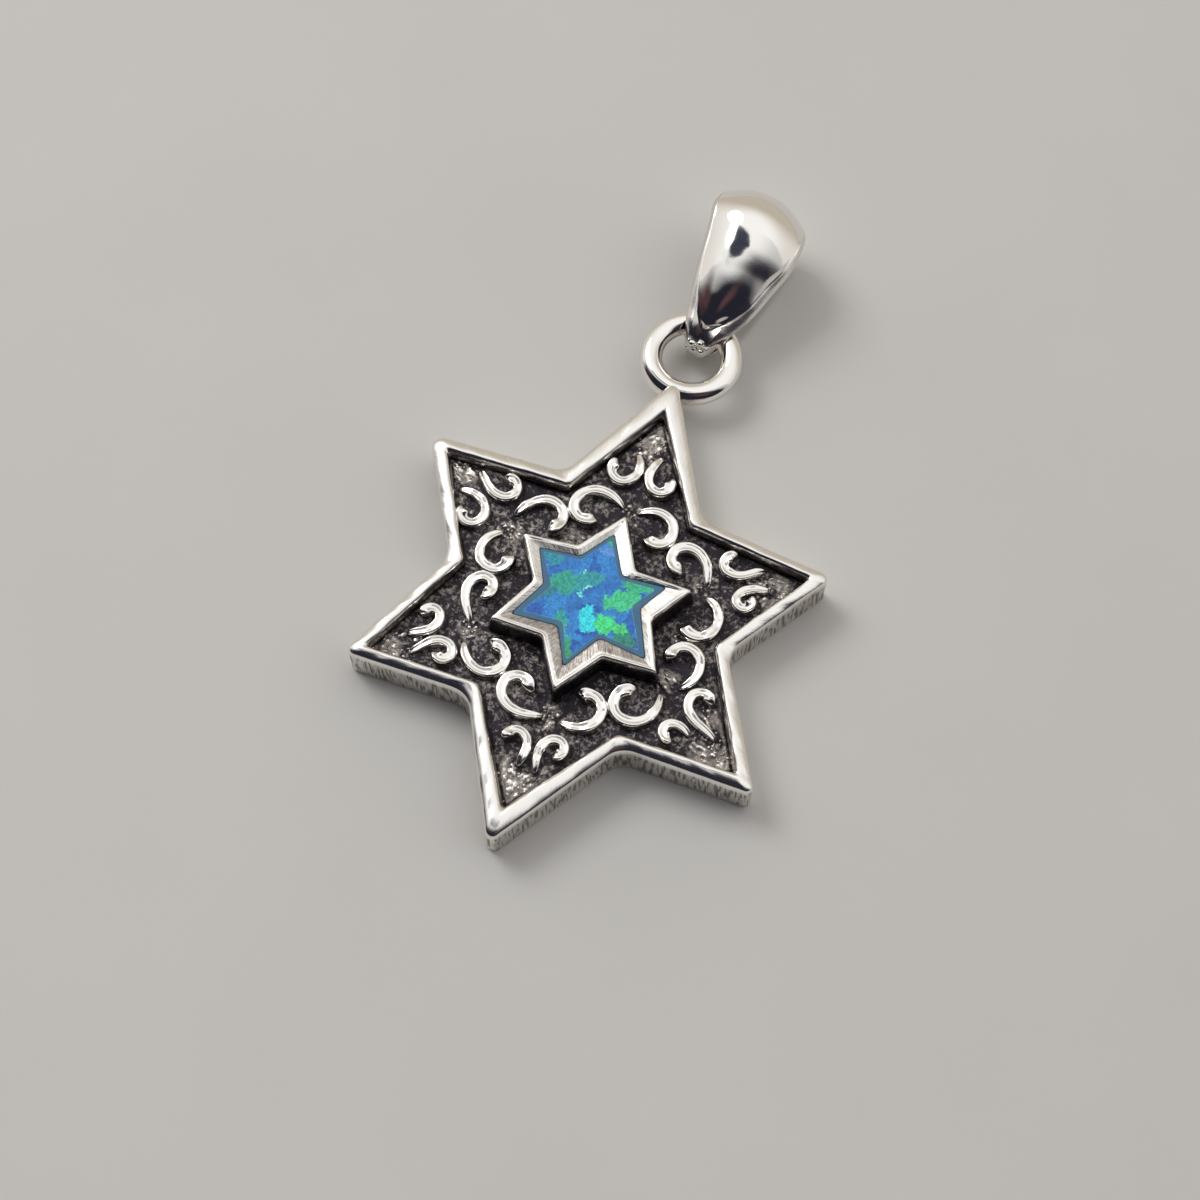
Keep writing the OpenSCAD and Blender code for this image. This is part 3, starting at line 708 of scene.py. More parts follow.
def silver_material(name, finish, polish, relief_z=None):
    """Sterling silver with the black patina left in its hollows and a hand-polished top.

    The eye gets a near mirror on the crests and a rough soft black in the field. Polish is
    the roughness of the bright metal. A relief has its patina by height instead.
    """
    material, tree, place = new_material(name)
    lift, brushed = (
        add(tree, "ShaderNodeAttribute", attribute_name=key).outputs["Fac"]
        for key in ("lift", "brushed")
    )
    if relief_z is None:
        patina = add(tree, "ShaderNodeAttribute", attribute_name="patina").outputs["Fac"]
    else:
        height = add(tree, "ShaderNodeSeparateXYZ", [place]).outputs["Z"]
        sockets = [height, relief_z * MM, (relief_z + PATINA_RISE) * MM, RELIEF_PATINA, 0]
        patina = add(tree, "ShaderNodeMapRange", sockets, interpolation_type="SMOOTHSTEP")
    grain, specks, clouds, waves = (
        add(
            tree,
            "ShaderNodeTexNoise",
            {"Vector": place, "Scale": per_mm(mm), "Detail": detail, "Roughness": rough},
        ).outputs["Fac"]
        for mm, detail, rough in SILVER_NOISE
    )
    # Less patina where the field stands up and its tips are rubbed bright
    specks = add(tree, "ShaderNodeMath", [clouds, CLOUD_SHARE, specks], operation="MULTIPLY_ADD")
    worn = add(tree, "ShaderNodeMapRange", [specks, *SPECK_RANGE])
    rubbed = add(tree, "ShaderNodeMapRange", [lift, *LIFT_RANGE])
    rubbed = add(tree, "ShaderNodeMath", [rubbed, worn], operation="ADD")
    kept = add(tree, "ShaderNodeMath", [1.0, rubbed], operation="SUBTRACT", use_clamp=True)
    dark = add(tree, "ShaderNodeMath", [patina, kept], operation="MULTIPLY", use_clamp=True)
    # File marks, drawn across the walls on a slant, hold some patina
    slanted = add(
        tree,
        "ShaderNodeMapping",
        {
            "Vector": add(tree, "ShaderNodeUVMap", uv_map="walls"),
            "Rotation": (0, 0, FILE_TURN),
            "Scale": (per_mm(FILE_SPACING), per_mm(FILE_LENGTH), 1),
        },
    )
    marks = add(tree, "ShaderNodeTexNoise", {"Vector": slanted, "Scale": 1.0, "Detail": 2})
    marks = marks.outputs["Fac"]
    scored = add(tree, "ShaderNodeMapRange", [marks, *MARK_RANGE])
    scored = add(tree, "ShaderNodeMath", [scored, brushed], operation="MULTIPLY")
    dark = add(tree, "ShaderNodeMath", [dark, scored], operation="ADD", use_clamp=True)
    # The colour goes from silver over worn patina to black
    base = (*finish.silver, 1)
    for mapping, tint in ((WORN_RANGE, finish.worn_oxide), (BLACK_RANGE, finish.oxide)):
        share = add(tree, "ShaderNodeMapRange", [dark, *mapping])
        sockets = {0: share, 6: base, 7: (*tint, 1)}
        base = add(tree, "ShaderNodeMix", sockets, data_type="RGBA").outputs[2]
    rough = add(tree, "ShaderNodeMapRange", [dark, 0, 1, polish, DARK_ROUGH])
    sockets = [brushed, BRUSHED_ROUGH, rough]
    rough = add(tree, "ShaderNodeMath", sockets, operation="MULTIPLY_ADD")
    marks = add(tree, "ShaderNodeMath", [marks, brushed], operation="MULTIPLY")
    grainy = add(tree, "ShaderNodeMath", [dark, *GRAIN_BUMP], operation="MULTIPLY_ADD")
    normal = {}
    for height, strength in ((grain, grainy), (marks, MARK_BUMP), (waves, WAVE_BUMP)):
        sockets = {"Height": height, "Strength": strength, "Distance": BUMP_DEPTH * MM}
        normal = {"Normal": add(tree, "ShaderNodeBump", sockets | normal)}
    shader = add(
        tree,
        "ShaderNodeBsdfPrincipled",
        {"Metallic": 1.0, "Base Color": base, "Roughness": rough} | normal,
    )
    add(tree, "ShaderNodeOutputMaterial", {"Surface": shader})
    return material


def opal_material(finish, centre):
    """Synthetic opal, cut flat and glossy: a blue body with flakes that flash green and cyan.

    The flakes are small cells, so each patch of colour has a jagged edge.
    """
    material, tree, place = new_material("Polished synthetic opal")
    flakes = add(
        tree,
        "ShaderNodeTexVoronoi",
        {"Vector": place, "Scale": per_mm(OPAL_FLAKE), "Randomness": 1.0},
        voronoi_dimensions="2D",
    )
    spot = flakes.outputs["Position"]
    body_cells = add(
        tree,
        "ShaderNodeTexVoronoi",
        {"Vector": spot, "Scale": per_mm(OPAL_CELL), "Randomness": 1.0},
        voronoi_dimensions="2D",
    )
    # A number from 0 to 1 for each cell of the body and for each flake
    cell_share, flake_share = (
        add(tree, "ShaderNodeSeparateColor", [cells.outputs["Color"]]).outputs[channel]
        for cells, channel in ((body_cells, 0), (flakes, 1))
    )
    # What is laid over the body in turn: how much of it, and its colour
    layers = [(cell_share, (*finish.opal_light, 1))]
    # The flakes' places drift by some tenths of a mm, which breaks the patches' outlines up
    sockets = {"Vector": spot, "Scale": per_mm(DRIFT_SIZE), "Detail": 3}
    drift = add(tree, "ShaderNodeTexNoise", sockets)
    drift = drift.outputs["Color"]
    drift = add(tree, "ShaderNodeVectorMath", [drift, (0.5,) * 3], operation="SUBTRACT")
    sockets = {0: drift, "Scale": OPAL_DRIFT * MM}
    drift = add(tree, "ShaderNodeVectorMath", sockets, operation="SCALE")
    drifted = add(tree, "ShaderNodeVectorMath", [spot, drift], operation="ADD")
    drifted = add(tree, "ShaderNodeVectorMath", [drifted, (1, 1, 0)], operation="MULTIPLY")
    for x, y, half_w, half_h, turn, tint in OPAL_PATCHES:
        local = add(
            tree,
            "ShaderNodeMapping",
            {
                "Vector": drifted,
                "Location": ((x - centre.x) * MM, (y - centre.y) * MM, 0),
                "Rotation": (0, 0, radians(turn)),
                "Scale": (half_w * MM, half_h * MM, 1),
            },
            vector_type="TEXTURE",
        )
        reach = add(tree, "ShaderNodeVectorMath", [local], operation="LENGTH").outputs["Value"]
        share = add(tree, "ShaderNodeMapRange", [reach, *PATCH_RANGE])
        layers.append((share, linear(tint)))
    clear = add(tree, "ShaderNodeAttribute", attribute_name="border").outputs["Fac"]
    edge = add(tree, "ShaderNodeMath", [clear, BORDER_SHARE], operation="MULTIPLY")
    # A thin painted highlight where the flat top meets the border
    off = add(tree, "ShaderNodeMath", [clear, HIGHLIGHT_PLACE], operation="SUBTRACT")
    off = add(tree, "ShaderNodeMath", [off], operation="ABSOLUTE")
    line = add(tree, "ShaderNodeMapRange", [off, *HIGHLIGHT_RANGE])
    body = (*finish.opal_deep, 1)
    for share, tint in layers:
        body = add(tree, "ShaderNodeMix", {0: share, 6: body, 7: tint}, data_type="RGBA").outputs[2]
    # Each flake is a little lighter or darker than its neighbours
    shade = add(tree, "ShaderNodeMapRange", [flake_share, *FLAKE_RANGE])
    body = add(tree, "ShaderNodeHueSaturation", {"Color": body, "Value": shade})
    for share, tint in ((edge, (*finish.opal_edge, 1)), (line, linear(OPAL_PAINTED_HIGHLIGHT))):
        body = add(tree, "ShaderNodeMix", {0: share, 6: body, 7: tint}, data_type="RGBA").outputs[2]
    sockets = {"Vector": place, "Scale": per_mm(RIPPLE_SIZE), "Detail": 1}
    ripples = add(tree, "ShaderNodeTexNoise", sockets).outputs["Fac"]
    sockets = {"Height": ripples, "Strength": 0.5, "Distance": RIPPLE_DEPTH * MM}
    ripple_bump = add(tree, "ShaderNodeBump", sockets)
    shader = add(
        tree,
        "ShaderNodeBsdfPrincipled",
        {
            "Base Color": body,
            # The body colour also glows faintly: painted light, which makes the stone look lit from
            # within
            "Emission Color": body,
            "Emission Strength": 0.22,
            "Roughness": 0.07,
            "IOR": 1.45,
            "Coat Weight": 0.3,
            "Coat Roughness": 0.04,
            "Normal": ripple_bump,
        },
    )
    add(tree, "ShaderNodeOutputMaterial", {"Surface": shader})
    return material


def floor_material(finish):
    """Matt painted board, pale and even, with a faint mottle that keeps it from looking flat."""
    material, tree, place = new_material("Matt painted board")
    sockets = {"Vector": place, "Scale": per_mm(MOTTLE_SIZE), "Detail": 3}
    mottle = add(tree, "ShaderNodeTexNoise", sockets).outputs["Fac"]
    shade = add(tree, "ShaderNodeMapRange", [mottle, *MOTTLE_RANGE])
    tone = add(tree, "ShaderNodeHueSaturation", {"Color": (*finish.floor, 1), "Value": shade})
    shader = add(tree, "ShaderNodeBsdfPrincipled", {"Base Color": tone, "Roughness": 0.9})
    add(tree, "ShaderNodeOutputMaterial", {"Surface": shader})
    return material


def scroll_path(row, size, steps):
    """Points in mm along a scroll, in equal steps, through its three charted directions."""
    step = row[5] * size.star_w / 2 / steps
    p = Vector((row[0] * size.star_w / 2, row[1] * size.star_h / 2))
    path = [p.copy()]
    for i in range(steps):
        t = (i + 0.5) / steps
        tail, half, curl = (1 - t) * (1 - 2 * t), 4 * t * (1 - t), t * (2 * t - 1)
        a = radians(row[2] * tail + row[3] * half + row[4] * curl)
        p = p + step * Vector((cos(a), sin(a)))
        path.append(p.copy())
    return path


def scroll_finder(size):
    """A tree that finds the nearest scroll."""
    places = [
        p for row in RING_SCROLLS + POINT_SCROLLS for p in scroll_path(row, size, FINDER_STEPS)
    ]
    finder = kdtree.KDTree(len(places))
    for i, p in enumerate(places):
        finder.insert((p.x, p.y, 0), i)
    finder.balance()
    return finder


def field_lump(p, size):
    """The cast field's rise in mm at a place, how far it stands up, and how grainy it is."""
    # Lumps with round grains on them, which stand up most in the charted patches
    coarse = noise.fractal(Vector((p.x, p.y, 0.3)) / LUMP_SIZE, 1.0, 2.1, 3)
    cell = noise.voronoi(Vector((p.x, p.y, 0.2)) / GRAIN_CELL)[0][0]
    grains = max(0, 1 - cell * 1.5)
    in_points = max(
        eased(row[2] * 1.9 - (p - Vector(row[:2])).length, 0, row[2]) for row in GRAIN_PATCHES
    )
    rise = 0.55 * coarse + (0.25 + 0.9 * in_points) * grains
    stand = min(1, max(0, (0.15 + 0.75 * in_points) * grains + 0.25 * coarse))
    return size.field_lump * rise, stand, in_points


def casting_mesh(size):
    """The star's back, side wall, rim, field and bezel as one skin."""
    star = star_shape(size, CORNER_STEPS, EDGE_STEPS)
    n = len(star.outline)
    rings, patina, lift, brushed = [], [], [], []

    def ring(points, dark, marks=0.0, raised=None):
        rings.append(points)
        patina.extend(dark if isinstance(dark, list) else [dark] * n)
        lift.extend(raised or [0.0] * n)
        brushed.extend([marks] * n)

    def band(first, last, share, z, dark, marks=0.0, wave=0.0):
        points = []
        for a, b in zip(first, last):
            slow, quick, heave = (
                noise.noise(Vector((a.x, a.y, seed)) * pace) for seed, pace in HAND_WAVES
            )
            sway, heave = slow + 0.5 * quick, 0.5 * wave * heave
            points.append(Vector((*a.lerp(b, share + wave * sway), z + heave)))
        ring(points, dark, marks)

    def between(low, high, share):
        return low + (high - low) * share

    # The flat back, and the edge break round it
    outer, inner = star.outline, star.field_edge
    back_share = size.back_break / size.rim_w
    for inside in (3, 1):
        band(outer, inner, back_share * inside, 0, 0, BACK_MARKS)
    for share in shares(BREAK_STEPS, 1):
        turn = pi / 2 * share
        z = size.back_break * (1 - cos(turn))
        band(outer, inner, back_share * (1 - sin(turn)), z, 0, BREAK_MARKS)
    # The filed side wall
    for share in shares(SIDE_STEPS, 1, 1):
        z = between(size.back_break, size.star_t - size.rim_round, share)
        band(outer, inner, 0, z, SIDE_PATINA, 1.0)
    # The rim and its inner wall
    for share in shares(RIM_STEPS):
        share = (1 - cos(pi * share)) / 2
        z = size.star_t - size.rim_round * smooth_value(RIM_ROWS, share, 1)
        dark, marks = RIM_PATINA * eased(share, 0.9, 1), RIM_MARKS * (1 - eased(share, 0.3, 0.6))
        band(outer, inner, share, z, dark, marks, size.rim_wave / size.rim_w * sin(pi * share))
    foot_z = size.star_t - size.rim_round * RIM_ROWS[-1][1]
    for share in shares(WALL_STEPS, 1, 1):
        z = between(foot_z, star.floor_z, share)
        band(outer, inner, 1 + WALL_DRAFT * share, z, 0.2 + 0.8 * eased(share, 0.15, 0.75))
    # The cast field: even at its edges, darkest at its walls and round the scrolls. The dark at its
    # walls is patina that also paints in the shade there
    finder = scroll_finder(size)
    even, more = OPEN_SHADE
    for t in shares(FIELD_STEPS):
        points, dark, raised = [], [], []
        for first, last, b in zip(outer, inner, star.bezel_foot):
            a = first.lerp(last, 1 + WALL_DRAFT)
            p = a.lerp(b, t)
            rise, stand, in_points = field_lump(p, size)
            near = finder.find((p.x, p.y, 0))[2]
            shade = 1 - (even + more * in_points) * eased(near, 0.24, 0.5)
            wall = eased(min((p - a).length, (p - b).length), 0.05, 0.4)
            points.append(Vector((*p, star.floor_z + rise * min(1, t / 0.04, (1 - t) / 0.04))))
            dark.append(max(shade, 1 - wall))
            raised.append(stand * wall)
        ring(points, dark, raised=raised)
    # The bezel: its outer wall, rounded crest, slope down to the opal, and seat
    # The outer wall is black with patina, which also paints in the wall's shade
    for share in shares(FOOT_STEPS, 1, 1):
        z = between(star.floor_z, star.bezel_z - size.bezel_round, share)
        band(star.bezel_foot, star.bezel_outer, share, z, 1 - 0.4 * eased(share, 0.75, 1))
    for share in shares(CREST_STEPS):
        z = star.bezel_z - size.bezel_round * smooth_value(CREST_ROWS, share, 1)
        dark = CREST_PATINA * (1 - eased(share, 0, 0.12))
        wave = CREST_SWAY * sin(pi * share)
        band(star.bezel_outer, star.bezel_crest, share, z, dark, 0, wave)
    slope_top = star.bezel_z - size.bezel_round * CREST_ROWS[-1][1]
    for share in shares(SLOPE_STEPS, 1):
        foot_dark = SLOPE_FOOT_PATINA * eased(share, 0.85, 1)
        # Painted shade: the slopes on the bezel's lower side face towards +Y and are darkened for
        # it; the patina at the foot is the same all round
        dark = [
            FACING_SLOPE_SHADE * eased((b - a).normalized().y, 0.2, 0.8) * eased(share, 0, 0.25)
            + foot_dark
            for a, b in zip(star.bezel_crest, star.bezel_inner)
        ]
        z = between(slope_top, star.opal_edge_z, share)
        band(star.bezel_crest, star.bezel_inner, share, z, dark, SLOPE_MARKS)
    for share in (0.3, 1):
        z = between(star.opal_edge_z, star.seat_z, share)
        band(star.bezel_outer, star.bezel_inner, 1, z, SEAT_PATINA)
    points, faces = skin(rings, cap_first=True, cap_last=True)
    values = {
        "patina": patina + [0.0, 0.0],
        "lift": lift + [0.0, 0.0],
        "brushed": brushed + [BACK_MARKS, BACK_MARKS],
    }
    mesh = new_mesh("star_casting", points, faces, size, values)
    # UV in metres: the way round the outline, and the way over the section
    around, run, coords = [0.0], [0.0], []
    for a, b in zip(outer, outer[1:] + outer[:1]):
        around.append(around[-1] + (b - a).length)
    for low, high in zip(rings, rings[1:]):
        run.append(run[-1] + (low[0] - high[0]).length)
    for r in range(len(rings) - 1):
        for i in range(n):
            for u, v in ((i, r), (i + 1, r), (i + 1, r + 1), (i, r + 1)):
                coords += [around[u] * MM, run[v] * MM]
    for face in faces[(len(rings) - 1) * n :]:
        for corner in face:
            coords += [points[corner].x * MM, points[corner].y * MM]
    mesh.uv_layers.new(name="walls").data.foreach_set("uv", coords)
    return mesh


def modify(piece, tree, inputs):
    """Give a piece a geometry tree, with its inputs set by name before it is evaluated."""
    modifier = piece.modifiers.new(tree.name, "NODES")
    modifier.node_group = tree
    for item in tree.interface.items_tree:
        if item.item_type == "SOCKET" and item.in_out == "INPUT" and item.name in inputs:
            modifier[item.identifier] = inputs[item.name]


def new_tree(name, inputs):
    """A geometry tree with its named inputs, and the sockets that give them."""
    tree = bpy.data.node_groups.new(name, "GeometryNodeTree")
    given = {"Geometry": "Geometry"} | inputs | {"Material": "Material"}
    for label, kind in given.items():
        tree.interface.new_socket(label, in_out="INPUT", socket_type=f"NodeSocket{kind}")
    tree.interface.new_socket("Geometry", in_out="OUTPUT", socket_type="NodeSocketGeometry")
    return tree, add(tree, "NodeGroupInput").outputs


def end_tree(tree, shape, given):
    """End a geometry tree with a plain mesh that has its material."""
    whole = add(tree, "GeometryNodeRealizeInstances", {"Geometry": shape})
    sockets = {"Geometry": whole, "Material": given["Material"]}
    add(tree, "NodeGroupOutput", [add(tree, "GeometryNodeSetMaterial", sockets)])
    return tree


def relief_tree():
    """Relief along curves, from their radii and a drawn section."""
    tree, given = new_tree(
        "Scroll relief", {"Section": "Object", "Width": "Float", "Height": "Float"}
    )
    upright = add(tree, "GeometryNodeSetCurveNormal", [given["Geometry"]], mode="Z_UP")
    drawn = add(tree, "GeometryNodeObjectInfo", {"Object": given["Section"]})
    half_width = add(tree, "ShaderNodeMath", [given["Width"], 0.5], operation="MULTIPLY")
    down = add(tree, "ShaderNodeMath", [given["Height"], -1.0], operation="MULTIPLY")
    scale = add(tree, "ShaderNodeCombineXYZ", {"X": half_width, "Y": down, "Z": 1.0})
    section = {"Geometry": drawn.outputs["Geometry"], "Scale": scale}
    swept = add(
        tree,
        "GeometryNodeCurveToMesh",
        {
            "Curve": upright,
            "Profile Curve": add(tree, "GeometryNodeTransform", section),
            "Scale": add(tree, "GeometryNodeInputRadius"),
            "Fill Caps": True,
        },
    )
    return end_tree(tree, swept, given)


def strewn_tree():
    """Granules strewn over faces, thicker where the mesh says so."""
    tree, given = new_tree(
        "Strewn granules", {"Density": "Float", "Radius": "Float", "Seed": "Int"}
    )
    thickness = add(
        tree, "GeometryNodeInputNamedAttribute", {"Name": "thickness"}, data_type="FLOAT"
    )
    points = add(
        tree,
        "GeometryNodeDistributePointsOnFaces",
        {
            "Mesh": given["Geometry"],
            "Density": add(
                tree,
                "ShaderNodeMath",
                [thickness, given["Density"]],
                operation="MULTIPLY",
            ),
            "Seed": given["Seed"],
        },
    )
    size, turn = (
        add(
            tree,
            "FunctionNodeRandomValue",
            {0: low, 1: high, "Seed": given["Seed"]},
            data_type="FLOAT_VECTOR",
        )
        for low, high in (GRAIN_SIZES, GRAIN_TURNS)
    )
    ball_sockets = {"Subdivisions": 2, "Radius": given["Radius"]}
    placed = add(
        tree,
        "GeometryNodeInstanceOnPoints",
        {
            "Points": points,
            "Instance": add(tree, "GeometryNodeMeshIcoSphere", ball_sockets),
            "Rotation": turn,
            "Scale": size,
        },
    )
    return end_tree(tree, placed, given)


def bead_tree():
    """A ball of solder on each point, sized by the mesh."""
    tree, given = new_tree("Solder beads", {"Radius": "Float"})
    share = add(tree, "GeometryNodeInputNamedAttribute", {"Name": "share"}, data_type="FLOAT")
    ball_sockets = {"Subdivisions": 4, "Radius": given["Radius"]}
    placed = add(
        tree,
        "GeometryNodeInstanceOnPoints",
        {
            "Points": given["Geometry"],
            "Instance": add(tree, "GeometryNodeMeshIcoSphere", ball_sockets),
            "Scale": share,
        },
    )
    return end_tree(tree, placed, given)


def wire_tree():
    """A round wire bent to a closed ring."""
    tree, given = new_tree(
        "Ring wire", {"Ring radius": "Float", "Wire radius": "Float", "Centre": "Vector"}
    )
    loop, wire = (
        add(
            tree,
            "GeometryNodeCurvePrimitiveCircle",
            {"Resolution": steps, "Radius": given[radius]},
        )
        for steps, radius in ((RING_STEPS, "Ring radius"), (WIRE_STEPS, "Wire radius"))
    )
    swept = add(tree, "GeometryNodeCurveToMesh", {"Curve": loop, "Profile Curve": wire})
    moved = add(tree, "GeometryNodeTransform", {"Geometry": swept, "Translation": given["Centre"]})
    joined = add(tree, "GeometryNodeJoinGeometry", [given["Geometry"]])
    tree.links.new(moved.outputs[0], joined.inputs[0])
    return end_tree(tree, joined, given)


def ball(centre, radii, turn=0.0):
    """Points and faces of an egg-shaped ball in mm, turned about Z."""
    spin = Matrix.Rotation(turn, 3, "Z")
    loops = []
    for r in range(1, BALL_RINGS):
        out, up = sin(pi * r / BALL_RINGS), -cos(pi * r / BALL_RINGS)
        places = [
            (radii[0] * out * cos(a), radii[1] * out * sin(a), radii[2] * up)
            for a in (2 * pi * i / BALL_SIDES for i in range(BALL_SIDES))
        ]
        loops.append([centre + spin @ Vector(place) for place in places])
    return skin(loops, cap_first=True, cap_last=True)


def join_shapes(shapes):
    """Several lists of points and faces as one."""
    points, faces = [], []
    for more_points, more_faces in shapes:
        start = len(points)
        points += more_points
        faces += [tuple(start + i for i in face) for face in more_faces]
    return points, faces


def bail_shape(size):
    """The bail's and the ring's derived sizes in mm, before the whole is centred."""
    top_point = star_shape(size, CAD_CORNER_STEPS, 0).top_point
    hang = size.ring_wire / 2 + size.bail_play + size.bail_wall
    low_half = size.bail_w * row_value(BAIL_ROWS, hang / size.bail_l, 2) / 2
    top_half = size.bail_back_w * BAIL_ROWS[-1][2] / 2
    low_rise = low_half * sin(size.bail_roll)
    end_r = size.ring_wire / 2 + low_rise + size.bail_gap + size.bail_wall
    top_r = size.bail_depth / 2
    rise = size.bail_l - end_r - top_r
    ring_r = (size.ring_d - size.ring_wire) / 2
    ring_z = end_r + low_rise + size.floor_gap
    ring_centre = Vector(
        (top_point.x + size.ring_shift, top_point.y - size.ring_lap + size.ring_d / 2, ring_z)
    )
    slide = Vector((sin(size.bail_slide), cos(size.bail_slide), 0))
    lift = top_r * cos(size.bail_roll) + top_half * sin(size.bail_roll) + EDGE_LIFT - ring_z
    return SimpleNamespace(
        hang=hang,
        end_r=end_r,
        top_r=top_r,
        rise=rise,
        taper=asin((top_r - end_r) / rise),
        ring_r=ring_r,
        ring_centre=ring_centre,
        hang_point=ring_centre + ring_r * slide,
        lean=asin(lift / (rise + end_r - hang)),
    )


def hung(p, bail, size):
    """A point of the bail's own frame, leaned, rolled and turned, then hung on the ring."""
    y = p[1] + bail.end_r - bail.hang
    leaned = Matrix.Rotation(bail.lean, 3, "X") @ Vector((p[0], y, p[2]))
    rolled = Matrix.Rotation(size.bail_roll, 3, "Y") @ leaned
    return bail.hang_point + Matrix.Rotation(-size.bail_slide - size.bail_turn, 3, "Z") @ rolled


def bail_stations(bail):
    """Stations round the bail's outside: height, depth and direction of the outside."""
    front, back = radians(90) + bail.taper, radians(270) - bail.taper
    end_r, top_r = bail.end_r, bail.top_r
    places = []
    for t in shares(END_STEPS, 0, 1):
        places.append((0, end_r, back - (pi - 2 * bail.taper) * t))
    for t in shares(LEG_STEPS, 0, 1):
        places.append((bail.rise * t, end_r + (top_r - end_r) * t, front))
    for t in shares(TOP_STEPS, 0, 1):
        places.append((bail.rise, top_r, front - (pi + 2 * bail.taper) * t))
    for t in shares(BACK_STEPS, 0, 1):
        places.append((bail.rise * (1 - t), top_r + (end_r - top_r) * t, back))
    return [(up + r * cos(a), r * sin(a), a) for up, r, a in places]


def bail_section(station, bail, size):
    """One section across the bail: points, patina and brush marks."""
    height, depth, facing = station
    share = (height + bail.end_r) / size.bail_l

    def row(place, column):
        return smooth_value(BAIL_ROWS, place, column)

    front = eased(sin(facing), DOME_ENDS, DOME_FULL)
    half = (size.bail_back_w + (size.bail_w - size.bail_back_w) * front) / 2
    left = -half * row(share, 1)
    right = half * (row(share, 1) + (row(share, 2) - row(share, 1)) * front)
    crease = left + size.bail_bevel * row(share, 5)
    dome_w = right - size.bail_bevel * row(share, 6) - crease
    drop = BEVEL_DROP * size.bail_bevel
    wall = size.bail_wall
    low_left, low_right = left + EDGE_LIFT, right - EDGE_LIFT

    def flank(low, edge, top, side):
        """The side wall and the bevel of one edge, up from the inside to the dome."""
        rows = [
            (low + side * EDGE_LIFT * t, -wall + (wall - drop) * t, FLANK_PATINA, 1)
            for t in shares(FLANK_STEPS, 1)
        ]
        for t in shares(BEVEL_STEPS, 1, 1):
            bulge = BEVEL_BULGE * sin(pi * t)
            x, off = edge + (top - edge) * t + side * bulge, -drop * (1 - t) + bulge
            rows.append((x, off, FLANK_PATINA, BEVEL_MARKS))
        return rows

    # Across the bail, from the right edge of its inside: place, height, patina and marks
    across = [
        (low_right + (low_left - low_right) * t, -wall, INSIDE_PATINA, INSIDE_MARKS)
        for t in shares(INSIDE_STEPS)
    ]
    across += flank(low_left, left, crease, -1)
    for t in shares(DOME_STEPS):
        u = 2 * t - 1
        bend = DOME_TIP * (1 - u * u) - DOME_BEND * u * u
        bent = share + bend * eased(share, 0.05, 0.12) * (1 - eased(share, 0.3, 0.6))
        sunk = row(bent, 4)
        rise = (size.bail_crown * row(bent, 3) - wall * sunk) * front * (1 - u * u)
        recess = front * sunk / RECESS_DEPTH
        across.append((crease + dome_w * t, rise, RECESS_PATINA * recess, RECESS_MARKS * recess))
    across += reversed(flank(low_right, right, crease + dome_w, 1))
    points = [
        hung((x, height + off * cos(facing), depth + off * sin(facing)), bail, size)
        for x, off, _, _ in across
    ]
    return points, [a[2] for a in across], [a[3] for a in across]


def bail_mesh(size):
    """The whole bail as one closed skin."""
    bail = bail_shape(size)
    sections = [bail_section(station, bail, size) for station in bail_stations(bail)]
    rings, patina, brushed = zip(*sections)
    points, faces = skin(rings, closed=True)
    values = {"patina": sum(patina, []), "brushed": sum(brushed, [])}
    return new_mesh("bail_loop", points, faces, size, values)


def drawn_lines(name, lines, closed=False):
    """A curve object of straight-sided lines, each a list of places and radii."""
    curve = bpy.data.curves.new(name, "CURVE")
    curve.dimensions = "3D"
    for line in lines:
        spline = curve.splines.new("POLY")
        spline.points.add(len(line) - 1)
        spline.use_cyclic_u = closed
        for point, (place, radius) in zip(spline.points, line):
            point.co = (*place, 1)
            point.radius = radius
    return linked(name, curve)


class PENDANT_OT_cast_star(bpy.types.Operator):
    """Cast the star: its flat back, side wall, polished rim, dark field and bezel"""

    bl_idname = "pendant.cast_star"
    bl_label = "Cast star"

    def execute(self, context):
        finish = context.scene.pendant_finish
        metal = silver_material("Oxidised cast sterling silver", finish, CAST_POLISH)
        piece = new_piece("star_casting", casting_mesh(measured(context.scene)), metal)
        finish_piece(piece, "star")
        return {"FINISHED"}


class PENDANT_OT_raise_scrolls(bpy.types.Operator):
    """Raise the scrolls in the star's field, round the bezel and in the points"""

    bl_idname = "pendant.raise_scrolls"
    bl_label = "Raise scrolls"

    def execute(self, context):
        finish = context.scene.pendant_finish
        size = measured(context.scene)
        floor_z = size.star_t - size.field_d
        metal = silver_material(
            "Polished relief in sterling silver", finish, RELIEF_POLISH, floor_z
        )
        left = [(-x, y) for x, y in reversed(SCROLL_SECTION[:-1])]
        outline = [((x, y, 0), 1) for x, y in reversed([*SCROLL_SECTION, *left])]
        section = drawn_lines("scroll_section", [outline], closed=True)
        tree = relief_tree()
        for name, rows, width in (
            ("ring_scrolls", RING_SCROLLS, size.ring_scroll_w),
            ("point_scrolls", POINT_SCROLLS, size.point_scroll_w),
        ):
            lines = []
            for row in rows:
                line = []
                for share, p in zip(shares(SCROLL_STEPS), scroll_path(row, size, SCROLL_STEPS)):
                    swell = smooth_value(SCROLL_SWELL, share, 1)
                    swell *= 1 + HAND_SWELL * noise.noise(Vector((p.x, p.y, 3)) * 2.5)
                    line.append(((Vector((*p, floor_z)) - size.middle) * MM, swell))
                lines.append(line)
            source = drawn_lines(name, lines)
            inputs = {"Section": section, "Width": width * MM, "Height": size.scroll_h * MM}
            modify(source, tree, inputs | {"Material": metal})
            finish_piece(baked(name, source), "star")
        bpy.data.objects.remove(section)
        return {"FINISHED"}


